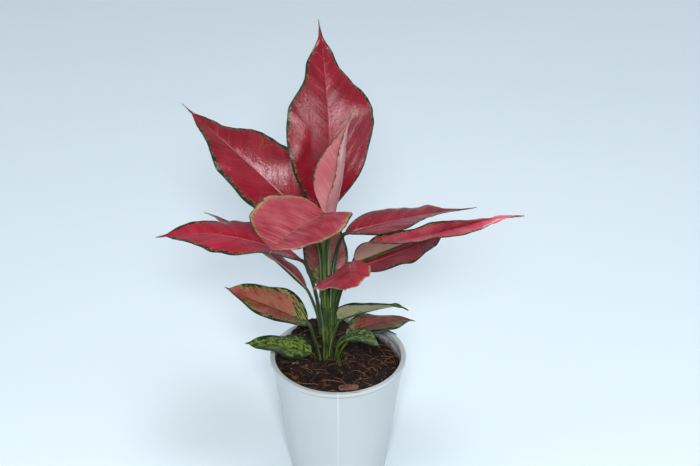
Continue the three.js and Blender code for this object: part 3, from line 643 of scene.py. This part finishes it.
def halfWidth(leaf, s):
    rootPower = leaf["taper"] * leaf["shoulder"] / (1 - leaf["shoulder"])
    peak = leaf["shoulder"] ** rootPower * (1 - leaf["shoulder"]) ** leaf["taper"]
    t = min(s / (1 - leaf["drip"]), 1)
    body = t ** rootPower * (1 - t) ** leaf["taper"] / peak
    thread = blade["dripWidth"] * (1 - s) * smooth(0, 1 - leaf["drip"], s)
    least = max(leaf["stalk"] * blade["stalkTaper"] * (1 - s * 4),
                blade["tipHalf"] * (1 - 0.6 * smooth(0.97, 1, s)))
    point = blade["pointSlope"] * leaf["length"] * (1 - s) * smooth(0.6, 0.88, s)
    return max(math.hypot(leaf["width"] / 2 * (body + thread), point), least)


def edgeReach(leaf, half, s, sign):
    # from the rib to one edge, with the small changes to the outline: places along it and shares of its width
    spots = [(0.0, 1.0), *leaf.get("edgeL" if sign > 0 else "edgeR", ()), (1.0, 1.0)]
    reach = half * (1 + sign * leaf["skew"])
    for (s0, k0), (s1, k1) in zip(spots, spots[1:]):
        if s <= s1:
            return reach * between(k0, k1, smooth(s0, s1, s))
    return reach


def ribFrame(leaf, rib, s):
    # point on the rib, the way to the left, the way up, and half the width
    place = s * (len(rib) - 1)
    below = min(int(place), len(rib) - 2)
    point = rib[below].lerp(rib[below + 1], place - below)
    heading = math.radians(leaf["heading"] + leaf["sweep"] * s)
    level = Vector((-math.sin(heading), math.cos(heading), 0))
    forward = ribDirection(leaf, s)
    side = Quaternion(forward, math.radians(leaf["roll"] + leaf["twist"] * s)) @ level
    return point, side, forward.cross(side), halfWidth(leaf, s)


def bladePoint(leaf, ribPlace, s, v, seed):
    point, side, up, half = ribPlace
    sign, hand = (1, "L") if v >= 0 else (-1, "R")
    reach = abs(v)
    opened = min(1, blade["openAtEnds"] + half / blade["foldedFrom"])
    fold = math.radians(leaf["fold" + hand]) * opened
    curl = math.radians(leaf["curl" + hand] or 0.01)
    width = edgeReach(leaf, half, s, sign)
    out = width * (math.sin(fold) - math.sin(fold - curl * reach)) / curl
    bow = width * (math.cos(fold - curl * reach) - math.cos(fold)) / curl
    swell = math.sin(math.tau * leaf["waves"] * s + math.radians(leaf["phase" + hand]))
    swell *= max(math.sin(math.pi * s), 0) ** 0.7
    lift = bow + leaf["wave"] * reach * reach * swell
    slope = 0 if reach == 0 else fold - curl * reach
    normal = up * math.cos(slope) - side * (sign * math.sin(slope))
    # soft relief: a trough along the rib, quilting between the side veins, small ruffles at the edge
    off = reach * width
    course = s * leaf["length"] - veins["slant"] * off - veins["bend"] * off * off
    course += veins["quiltSpacing"] / 2 if sign > 0 else 0
    quilt = math.sin(math.tau * course / veins["quiltSpacing"]) * smooth(0.5, 5, off) * (1 - reach ** 3)
    ruffle = noise.noise(Vector((course * relief["ruffleGrain"], sign * 3, seed))) * reach ** 4
    trough = math.exp(-(off / relief["troughWidth"]) ** 2) * (1 - s) * min(half / relief["fullTroughFrom"], 1)
    raised = min(half / relief["fullFrom"], 1) * (relief["quilt"] * quilt + relief["ruffle"] * ruffle)
    return point + side * (sign * out) + up * lift + normal * (raised - relief["trough"] * trough)


def buildBlade(name, leaf, rib, seed):
    columns = blade["columns"]
    rows = max(round(leaf["length"] / blade["rowLength"]), blade["fewestRows"])
    shares = [(1 - math.cos(math.pi * row / rows)) / 2 for row in range(rows + 1)]
    frames = [ribFrame(leaf, rib, s) for s in shares]
    measures = []
    along = []

    def place(column, row):
        s = shares[row]
        v = 1 - 2 * column / columns
        width = edgeReach(leaf, frames[row][3], s, 1 if v >= 0 else -1)
        measures.append((s * leaf["length"], v * width, (1 - abs(v)) * width))
        along.append(s)
        return bladePoint(leaf, frames[row], s, v, seed) * mm

    piece = shapedGrid(name, columns, rows, place)
    setValues(piece.data, "leafPlace", measures)
    setValues(piece.data, "leafShare", along)
    # thickness, with the lower side told apart from the upper
    piece.data.materials.append(None)
    piece.data.materials.append(None)
    solid = piece.modifiers.new("thickness", "SOLIDIFY")
    solid.thickness = blade["thickness"] * mm
    solid.offset = 0
    solid.material_offset = 1
    applyAll(piece)
    under = [float(face.material_index == 1) for face in piece.data.polygons]
    setValues(piece.data, "leafUnder", under, "FACE")
    piece.data.polygons.foreach_set("material_index", [0] * len(under))
    piece.data.materials.clear()
    return piece


def stalkFrames(leaf, rib):
    # from the root up into the blade: centre, side, up, radius across and down, and how flat the top is
    root = Vector(leaf["root"])
    base = Vector(leaf["base"])
    span = (base - root).length
    leave = root + Vector((0, 0, span * leaf.get("leave", 0.5)))
    arrive = base - ribDirection(leaf, 0) * (span * leaf.get("bend", 0.3))
    rows = stalk["rows"]
    frames = []
    side = ribFrame(leaf, rib, 0)[1]
    for row in range(rows - 1, -1, -1):
        t = row / rows
        u = 1 - t
        centre = root * u ** 3 + leave * (3 * u * u * t) + arrive * (3 * u * t * t) + base * t ** 3
        forward = (leave - root) * u * u + (arrive - leave) * (2 * u * t) + (base - arrive) * t * t
        forward.normalize()
        side = (side - forward * side.dot(forward)).normalized()
        spread = 1 + stalk["sheathSpread"] * (1 - smooth(0, stalk["sheathShare"], t))
        radius = leaf["stalk"] * between(1, blade["stalkTaper"], t) * spread
        frames.insert(0, (centre, side.copy(), forward.cross(side), radius, stalk["flatness"], t, t * span))
    for row in range(stalk["ribRows"] + 1):
        s = stalk["ribEnd"] * row / stalk["ribRows"]
        centre, side, up, half = ribFrame(leaf, rib, s)
        radius = max(leaf["stalk"] * blade["stalkTaper"] * (1 - s / 0.8), 0.34 - 0.18 * s)
        sunk = smooth(0, 0.12, s)
        flat = between(stalk["flatness"], 0.1, sunk)
        centre = centre - up * ((radius * 0.2 + 0.45) * sunk)
        frames.append((centre, side, up, radius, flat, 1 + s, span + s * leaf["length"]))
    return frames


def buildTube(name, sides, rows, place):
    # place(row, angle) gives a point, the length up to there, and the share of the whole
    places = []
    shares = []

    def putDown(column, row):
        angle = math.tau * column / sides
        point, along, share = place(row, angle)
        places.append((along, math.cos(angle), math.sin(angle)))
        shares.append(share)
        return point * mm

    piece = shapedGrid(name, sides, rows, putDown)
    setValues(piece.data, "stalkPlace", places)
    setValues(piece.data, "stalkShare", shares)
    editMesh(piece, closeSeams)
    return piece


def buildStalk(name, leaf, rib):
    frames = stalkFrames(leaf, rib)

    def place(row, angle):
        centre, side, up, radius, flat, share, along = frames[row]
        high = math.sin(angle)
        if high > 0:
            high *= flat
            if share < 1:
                high -= stalk["channel"] * math.exp(-((angle - math.pi / 2) / stalk["channelWidth"]) ** 2)
        return centre + side * (radius * math.cos(angle)) + up * (radius * high), along, share

    return buildTube(name, stalk["sides"], len(frames) - 1, place)


for number, (leafName, leaf) in enumerate(leaves.items()):
    rib = ribPoints(leaf)
    body = buildBlade(leafName, leaf, rib, number * 7.3)
    foot = buildStalk(leafName + "Stalk", leaf, rib)
    body.data.materials.append(leafMaterial(leafName + "Finish", leaf, number * 3.7))
    foot.data.materials.append(
        stalkMaterial(leafName + "StalkFinish", number * 2.3, leaf.get("stalkLook", {})))
    joinInto(body, [foot])
    smoothShade(body)
    finishPiece(body, None, leaf["node"], leafSlots[leaf["kind"]])
print("leaves grown:", len(leaves))


# the stem, wrapped in the leaf bases

stem = {"path": [(-9, 2, plantRoot), (-8.6, 2, 118), (-8.6, 2.6, 150), (-8.2, 3, 196)],
        "radii": [4.6, 4.4, 5.8, 4.2], "length": 104, "sides": 40, "rows": 70, "ribs": 3,
        "ribHeight": 0.09, "look": {"Pale": (0.17, 0.19, 0.06)}}


def alongPath(points, t):
    # a smooth curve through the points, as a rope laid over them would run
    stretches = len(points) - 1
    place = min(t * stretches, stretches - 1e-6)
    below = int(place)
    f = place - below
    four = [Vector(points[max(0, min(stretches, below + k))]) for k in (-1, 0, 1, 2)]
    if below == 0:
        four[0] = four[1] * 2 - four[2]
    if below == stretches - 1:
        four[3] = four[2] * 2 - four[1]
    a, b, c, d = four
    return 0.5 * ((2 * b) + (c - a) * f + (2 * a - 5 * b + 4 * c - d) * f * f
                  + (3 * b - a - 3 * c + d) * f ** 3)


def buildStem():
    radii = stem["radii"]
    stretches = len(radii) - 1

    def place(row, angle):
        t = row / stem["rows"]
        below = min(int(t * stretches), stretches - 1)
        radius = between(radii[below], radii[below + 1], smooth(0, 1, t * stretches - below))
        radius *= 1 + stem["ribHeight"] * math.cos(stem["ribs"] * angle)
        return alongPath(stem["path"], t) + Vector((*around(angle, radius), 0)), t * stem["length"], t

    piece = buildTube("stemCore", stem["sides"], stem["rows"], place)
    smoothShade(piece)
    finishPiece(piece, stalkMaterial("stemFinish", 50.0, stem["look"]), "stem", "stem_green")


buildStem()
print("stem made")


# the pot, turned from its profile

pot = {"sides": 160, "height": 110.0, "base": 39.0, "neck": 53.0, "rim": 55.0, "mouth": 51.0,
       "lip": 0.6, "lipDepth": 5.0, "band": 3.0, "wall": 1.5, "floor": 2.5,
       "holes": 6, "holeRadius": 4.0, "holeCircle": 24.0}
potFinish = {"body": ((0.49, 0.53, 0.55), (0.52, 0.565, 0.585)), "stain": (0.07, 0.045, 0.035),
             "paintedBandShadow": (0.20, 0.21, 0.22), "dust": (0.42, 0.43, 0.43), "paintedSeamHighlight": (0.76, 0.82, 0.86),
             "innerSlope": 0.1366, "innerFoot": 0.0386}


def potProfile():
    top = pot["height"]
    neck = top - pot["band"]
    inner = pot["base"] - pot["wall"]
    inside = pot["mouth"] - pot["lip"]
    low = top - pot["lipDepth"]
    base, rim, mouth = pot["base"], pot["rim"], pot["mouth"]
    return [
        (base - 8, 0), (base - 1.5, 0), (base - 0.45, 0.45), (base, 1.5),
        (between(base, pot["neck"], 0.5), between(1.5, neck, 0.5)),
        (pot["neck"] - 0.08, neck - 0.6), (pot["neck"], neck),
        (rim - 0.7, neck), (rim - 0.2, neck + 0.2), (rim, neck + 0.7),
        (rim, top - 0.9), (rim - 0.25, top - 0.25), (rim - 0.9, top),
        (mouth + 0.6, top), (mouth + 0.15, top - 0.15), (mouth, top - 0.6),
        (inside, low), (between(inside, inner, 0.5), between(low, pot["floor"] + 1, 0.5)),
        (inner, pot["floor"] + 1), (inner - 0.3, pot["floor"] + 0.3), (inner - 1, pot["floor"]),
        (inner - 8, pot["floor"]),
    ]


def turnShape(name, profile, sides):
    # the first ring is a filled disc, and each next ring is pulled out of it
    bpy.ops.mesh.primitive_circle_add(vertices=sides, radius=profile[0][0] * mm, fill_type="NGON",
                                      location=(0, 0, 0))
    piece = latest(name)

    def pullRings():
        bpy.ops.mesh.duplicate()
        for (radius, level), (nextRadius, nextLevel) in zip(profile, profile[1:]):
            bpy.ops.mesh.extrude_region_move(
                TRANSFORM_OT_translate={"value": (0, 0, (nextLevel - level) * mm)})
            ratio = nextRadius / radius
            bpy.ops.transform.resize(value=(ratio, ratio, 1), center_override=(0, 0, 0))

    editMesh(piece, pullRings, lambda: bpy.ops.mesh.remove_doubles(threshold=1e-6), faceOutwards)
    return piece


def buildPot():
    piece = turnShape("nurseryPot", potProfile(), pot["sides"])
    cutters = []
    for index in range(pot["holes"]):
        place = around(math.tau * index / pot["holes"], pot["holeCircle"] * mm)
        bpy.ops.mesh.primitive_cylinder_add(vertices=32, radius=pot["holeRadius"] * mm, depth=0.02,
                                            location=(*place, 0))
        cutters.append(bpy.context.object)
    cutter = joinInto(cutters[0], cutters[1:])
    holes = piece.modifiers.new("holes", "BOOLEAN")
    holes.object = cutter
    holes.operation = "DIFFERENCE"
    holes.solver = "EXACT"
    applyAll(piece)
    bpy.data.objects.remove(cutter)
    smoothShade(piece, 12)
    return piece


def potMaterial():
    material, tree, shader = newMaterial("paleGlossPlastic")
    place = objectPlace(tree)
    x, y, z = partsOf(place)
    body = blend(fade(grainAt(place, 9.0, 1.0), 0.2, 0.8), *potFinish["body"])
    # soil stains low on the inside of the wall
    far = calc("SQRT", plus(times(x, x), times(y, y)))
    wall = scaled(z, potFinish["innerSlope"], potFinish["innerFoot"])
    smear = plus(grainAt(place, 190.0, 5.0, 0.7, 0.6), fade(z, 0.108, 0.096, 0.0, 0.42))
    dirt = times(fade(minus(wall, far), 0.0002, 0.0008), fade(smear, 0.60, 0.78))
    body = blend(times(dirt, 0.85), body, potFinish["stain"])
    # painted shadow in the line under the rim band, and dust specks
    under = times(fade(z, 0.1046, 0.1054), fade(z, 0.1072, 0.1069), 0.75)
    body = blend(under, body, potFinish["paintedBandShadow"])
    dust = fade(grainAt(place, 420.0, 2.0), 0.72, 0.8, 0.0, 0.35)
    body = blend(dust, body, potFinish["dust"])
    # upright mould lines in front and behind: a slight raised seam, with a painted highlight along it that is
    # brighter higher up
    line = times(fade(calc("ABSOLUTE", minus(x, 0.0002)), 0.0006, 0.0001), fade(z, 0.02, 0.095, 0.15, 0.6))
    body = blend(line, body, potFinish["paintedSeamHighlight"])
    cover(shader, body, scaled(dirt, 0.4, 0.3), 0.5, line, 0.4, 0.0002)
    return material


finishPiece(buildPot(), potMaterial(), "pot", "pot_plastic")
print("pot made")


# the soil: crumbly bed, clods, and tangled coir

soil = {"level": 105.5, "heap": (-20, 42, 26, 17, 10.0), "hollow": (40, 20, 20, 22, -8.0),
        "lumps": ((0.7, 0.55, 0.61, 1.3), (0.5, 1.1, 0.7, 0.4), (0.4, -0.5, 1.35, 2.0)),
        "columns": 200, "rings": 66, "walls": 8, "bottom": 2.85, "bottomRadius": 36.6, "gap": 0.15,
        "pressed": (8.5, -40, 9, 4.5, -1.5),  # by the bark
        "edgeDrop": 0.8, "wallRadius": 50, "reach": 48.6, "strawReach": 54.0, "fibreReach": 49,
        "clodReach": 48, "fibres": 1300, "strawEvery": 14, "clods": 520, "seed": 5,
        "paleClod": {"place": (-37.2, -19.9), "size": 1.3},
        # straws on top: centre, turn, length, thickness, bow, tint, and the level of one that lies on the rim
        "straws": ((-4.3, -32.8, -12, 21, 0.20, 0.05, 1.0, None), (6, -8.3, -47, 13, 0.18, 0.08, 1.0, None),
                   (41, 1, -62, 24, 0.16, 0.18, 0.8, None), (8, -33.5, 60, 15, 0.14, -0.3, 0.85, None),
                   (-12, -26, 35, 18, 0.12, 0.35, 0.7, None), (22, -24, 15, 17, 0.15, -0.2, 0.8, None),
                   (-30, -8, 75, 16, 0.12, 0.2, 0.7, None), (30, -12, -35, 19, 0.14, 0.15, 0.75, None),
                   (12.5, -50.6, -7, 13, 0.17, -0.12, 0.55, 110.2))}


def insideRadius(level):
    share = min(max((level - pot["floor"]) / (pot["height"] - pot["lipDepth"] - pot["floor"]), 0), 1)
    return between(pot["base"] - pot["wall"], pot["mouth"] - pot["lip"], share)


def mound(x, y, cx, cy, sx, sy, rise):
    return rise * math.exp(-(((x - cx) / sx) ** 2 + ((y - cy) / sy) ** 2))


def soilLevel(x, y):
    height = soil["level"]
    for place in (soil["heap"], soil["hollow"]):
        height += mound(x, y, *place)
    for rise, wx, wy, phase in soil["lumps"]:
        height += rise * math.sin(x * wx + y * wy + phase)
    return height


def crumbLevel(x, y):
    coarse = noise.fractal(Vector((x * 0.16, y * 0.16, 4.2)), 0.9, 2.0, 3)
    fine = noise.fractal(Vector((x * 0.62, y * 0.62, 9.1)), 0.8, 2.1, 3)
    return soilLevel(x, y) + 1.4 * coarse + 0.95 * fine + mound(x, y, *soil["pressed"])


def buildSoilBed():
    rings = soil["rings"]

    def outline(column, row):
        # upper face from the middle out, down along the wall, and back under to the middle
        angle = math.tau * column / soil["columns"]
        rim = insideRadius(soilLevel(*around(angle, soil["wallRadius"])) - 1.5) - soil["gap"]
        if row <= rings:
            x, y = around(angle, rim * row / rings)
            level = crumbLevel(x, y) - soil["edgeDrop"] * smooth(rings - 2, rings, row)
            return Vector((x, y, level)) * mm
        if row <= rings + soil["walls"]:
            t = (row - rings) / soil["walls"]
            level = between(crumbLevel(*around(angle, rim)) - soil["edgeDrop"], soil["bottom"], t)
            radius = min(between(rim, soil["bottomRadius"], t), insideRadius(level) - soil["gap"])
            return Vector((*around(angle, radius), level)) * mm
        return Vector((0, 0, soil["bottom"])) * mm

    piece = shapedGrid("coirBed", soil["columns"], rings + soil["walls"] + 1, outline)
    editMesh(piece, closeSeams, faceOutwards)
    smoothShade(piece, 70)
    return piece


def scatter(name, model, count, bendCopy):
    # copies of one small model, each bent, turned and laid down by bendCopy, then joined
    deselectAll()
    copies = []
    for index in range(count):
        mesh = model.data.copy()
        tint = bendCopy(mesh, index)
        setValues(mesh, "tint", [tint] * len(mesh.vertices))
        copy = bpy.data.objects.new(name, mesh)
        bpy.context.scene.collection.objects.link(copy)
        copies.append(copy)
    bpy.data.objects.remove(model)
    whole = joinInto(copies[0], copies[1:])
    whole.name = name
    return whole


def modelFibre():
    # a three-sided rod, cut across seven times and thinner towards its ends
    bpy.ops.mesh.primitive_cylinder_add(vertices=3, radius=1, depth=1, end_fill_type="NGON")
    piece = bpy.context.object
    editMesh(piece, lambda: bpy.ops.mesh.select_mode(type="EDGE"))
    for edge in piece.data.edges:
        ends = [piece.data.vertices[i].co.z for i in edge.vertices]
        edge.select = abs(ends[0] - ends[1]) > 0.5
    bpy.ops.object.mode_set(mode="EDIT")
    bpy.ops.mesh.subdivide(number_cuts=7)
    bpy.ops.object.mode_set(mode="OBJECT")
    for point in piece.data.vertices:
        slim = 1 - 0.6 * (abs(point.co.z) * 2) ** 3
        point.co.x *= slim
        point.co.y *= slim
    return piece


def layFibre(mesh, centre, turn, length, thickness, bow, lift, sink, limit, level=None):
    # a stiff fibre: its ends rest in the soil, or on level, and it bridges what lies between
    ahead = Vector((math.cos(turn), math.sin(turn)))
    beside = Vector((-ahead.y, ahead.x))
    ends = [Vector(centre) + ahead * (length * half) for half in (-0.5, 0.5)]
    first, last = (crumbLevel(*end) if level is None else level for end in ends)
    for point in mesh.vertices:
        t = point.co.z + 0.5
        sway = math.sin(math.pi * t) * bow * length + math.sin(math.tau * t * 1.3 + turn) * length * 0.025
        spot = ends[0].lerp(ends[1], t) + beside * sway
        if spot.length > limit:
            spot *= limit / spot.length
        z = between(first, last, t) + between(-sink, lift, math.sin(math.pi * t))
        spot += beside * (point.co.x * thickness)
        point.co = Vector((*spot, z + point.co.y * thickness)) * mm


def somewhere(pick, reach):
    radius = reach * math.sqrt(pick.random())
    return around(pick.random() * math.tau, radius)


def buildFibres():
    pick = random.Random(soil["seed"])

    def bendCopy(mesh, index):
        if index < len(soil["straws"]):
            x, y, turn, length, thickness, bow, tint, level = soil["straws"][index]
            layFibre(mesh, (x, y), math.radians(turn), length, thickness, bow, 0.4 if level else 1.6, 0.0,
                     soil["strawReach" if level else "reach"], level)
            return tint
        centre = somewhere(pick, soil["fibreReach"])
        straw = index % soil["strawEvery"] == 0  # now and then a long pale one on top
        length = 9 + 18 * pick.random() if straw else 3 + 16 * pick.random() ** 2
        thickness = 0.10 + 0.10 * pick.random() if straw else 0.045 + 0.085 * pick.random() ** 2
        bow = (pick.random() - 0.5) * (0.2 if straw else 0.4)
        lift = 1.2 + 1.2 * pick.random() if straw else 0.3 + 1.6 * pick.random() ** 2
        layFibre(mesh, centre, pick.random() * math.tau, length, thickness, bow, lift, 0.4, soil["reach"])
        return between(0.45, 1.0, pick.random()) if straw else 0.7 * pick.random() ** 2.6

    return scatter("coirFibres", modelFibre(), soil["fibres"], bendCopy)


def buildClods():
    pick = random.Random(soil["seed"] + 1)
    bpy.ops.mesh.primitive_ico_sphere_add(subdivisions=1, radius=1)
    model = bpy.context.object

    def bendCopy(mesh, index):
        x, y = somewhere(pick, soil["clodReach"])
        if index == 0:
            x, y = soil["paleClod"]["place"]
        size = soil["paleClod"]["size"] if index == 0 else 0.4 + 1.3 * pick.random() ** 3
        squash = (size * between(0.7, 1.4, pick.random()), size * between(0.7, 1.4, pick.random()),
                  size * 0.7)
        middle = Vector((x, y, crumbLevel(x, y) + size * 0.15))
        for point in mesh.vertices:
            lump = 1 + 0.3 * noise.noise(point.co * 1.7 + Vector((index, 0, 0)))
            point.co = (middle + Vector(c * k * lump for c, k in zip(point.co, squash))) * mm
        return 1.0 if index == 0 else 0.7 * pick.random()

    return scatter("soilClods", model, soil["clods"], bendCopy)


coirColours = {"ground": ((0.0025, 0.0018, 0.002), (0.020, 0.009, 0.007)), "crumb": (0.06, 0.025, 0.016),
               "clump": (0.045, 0.017, 0.012), "darkStrand": (0.014, 0.006, 0.005)}


def buildCoirPattern():
    group, given, out = newGroup("coirPattern", {}, {"Colour": coirColours["crumb"], "Height": 0.0})
    place = objectPlace(group)
    coarse = grainAt(place, 120.0, 4.0, 0.6)
    fine = grainAt(place, 900.0, 4.0, 0.7)
    body = blend(fade(coarse, 0.35, 0.68), *coirColours["ground"])
    body = blend(fade(fine, 0.52, 0.75, 0.0, 0.5), body, coirColours["crumb"])
    clump = fade(grainAt(place, 55.0, 3.0, 0.6), 0.5, 0.68, 0.0, 0.4)
    feed(out["Colour"], blend(clump, body, coirColours["clump"]))
    feed(out["Height"], scaled(coarse, 0.6, fine))
    return group


coirPattern = buildCoirPattern()


def coirMaterial(name, paleStrand=None):
    material, tree, shader = newMaterial(name)
    out = placeGroup(tree, coirPattern, {})
    body = out["Colour"]
    if paleStrand:
        shade = fade(attributeOf(tree, "tint", "Fac"), 0.2, 0.95)
        body = blend(0.8, body, blend(shade, coirColours["darkStrand"], paleStrand))
    cover(shader, body, fade(out["Height"], 0.3, 1.2, 0.95, 0.7), 0.25, out["Height"], 0.7, 0.0006)
    return material


finishPiece(buildSoilBed(), coirMaterial("darkCoir"), "soil", "coir_soil")
finishPiece(buildFibres(), coirMaterial("coirStrand", (0.38, 0.175, 0.095)), "soil", "coir_soil")
finishPiece(buildClods(), coirMaterial("clod", (0.30, 0.15, 0.08)), "soil", "coir_soil")
print("soil laid")


# the flake of bark on the soil

bark = {"centre": (8.5, -39.6, 106.0), "length": 16.0, "width": 6.0, "thickness": 2.4, "cuts": 17,
        "turn": 4.0, "lean": 6.0, "grain": ((0.045, 0.018, 0.011), (0.30, 0.125, 0.065)),
        "pits": (0.03, 0.014, 0.01)}


def buildBark():
    deselectAll()
    bpy.ops.mesh.primitive_cube_add(size=1)
    piece = latest("barkFlake")
    editMesh(piece, lambda: bpy.ops.mesh.subdivide(number_cuts=bark["cuts"]))
    lean = Quaternion((1, 0, 0), math.radians(bark["lean"]))
    turn = Quaternion((0, 0, 1), math.radians(bark["turn"]))
    for point in piece.data.vertices:
        x, y, z = point.co
        ends = 1 - 0.16 * abs(noise.noise(Vector((y * 5, z * 3, 1.5)))) - 0.1 * (y * 2) ** 2
        side = 1 - 0.22 * abs(noise.noise(Vector((x * 4, z * 2, 7.5)))) - 0.1 * (abs(x) * 2) ** 4
        grain = 0.16 * noise.noise(Vector((x * 2.2, y * 9, z * 4 + 3)))
        shape = Vector((x * bark["length"] * ends, y * bark["width"] * side,
                        (z * (1 - 0.5 * (y * 2) ** 2) + grain * (0.4 + abs(z))) * bark["thickness"]))
        point.co = (turn @ (lean @ shape) + Vector(bark["centre"])) * mm
    smoothShade(piece, 40)
    return piece


def barkMaterial():
    material, tree, shader = newMaterial("barkBrown")
    place = objectPlace(tree)
    x, y, z = partsOf(place)
    grain = grainAt(vectorOf(times(x, 90.0), times(y, 700.0), times(z, 700.0)), 1.0, 4.0, 0.65)
    body = blend(fade(grain, 0.32, 0.66), *bark["grain"])
    pits = fade(grainAt(place, 900.0, 2.0), 0.6, 0.72, 0.0, 0.7)
    cover(shader, blend(pits, body, bark["pits"]), 0.8, 0.5, grain, 0.8, 0.0006)
    return material


finishPiece(buildBark(), barkMaterial(), "bark_chip", "bark")
print("bark laid")


# floor

floorLook = {"size": 16, "place": (0, 2, 0), "colours": ((0.78, 0.87, 0.93), (0.81, 0.90, 0.96))}


def buildFloor():
    bpy.ops.mesh.primitive_plane_add(size=floorLook["size"], location=floorLook["place"])
    floor = latest("floor")
    material, tree, shader = newMaterial("paleFloor")
    cloud = grainAt(objectPlace(tree), 1.2, 2.0)
    cover(shader, blend(fade(cloud, 0.3, 0.7), *floorLook["colours"]), 0.85, 0.1)
    floor.data.materials.append(material)


buildFloor()
print("floor laid")
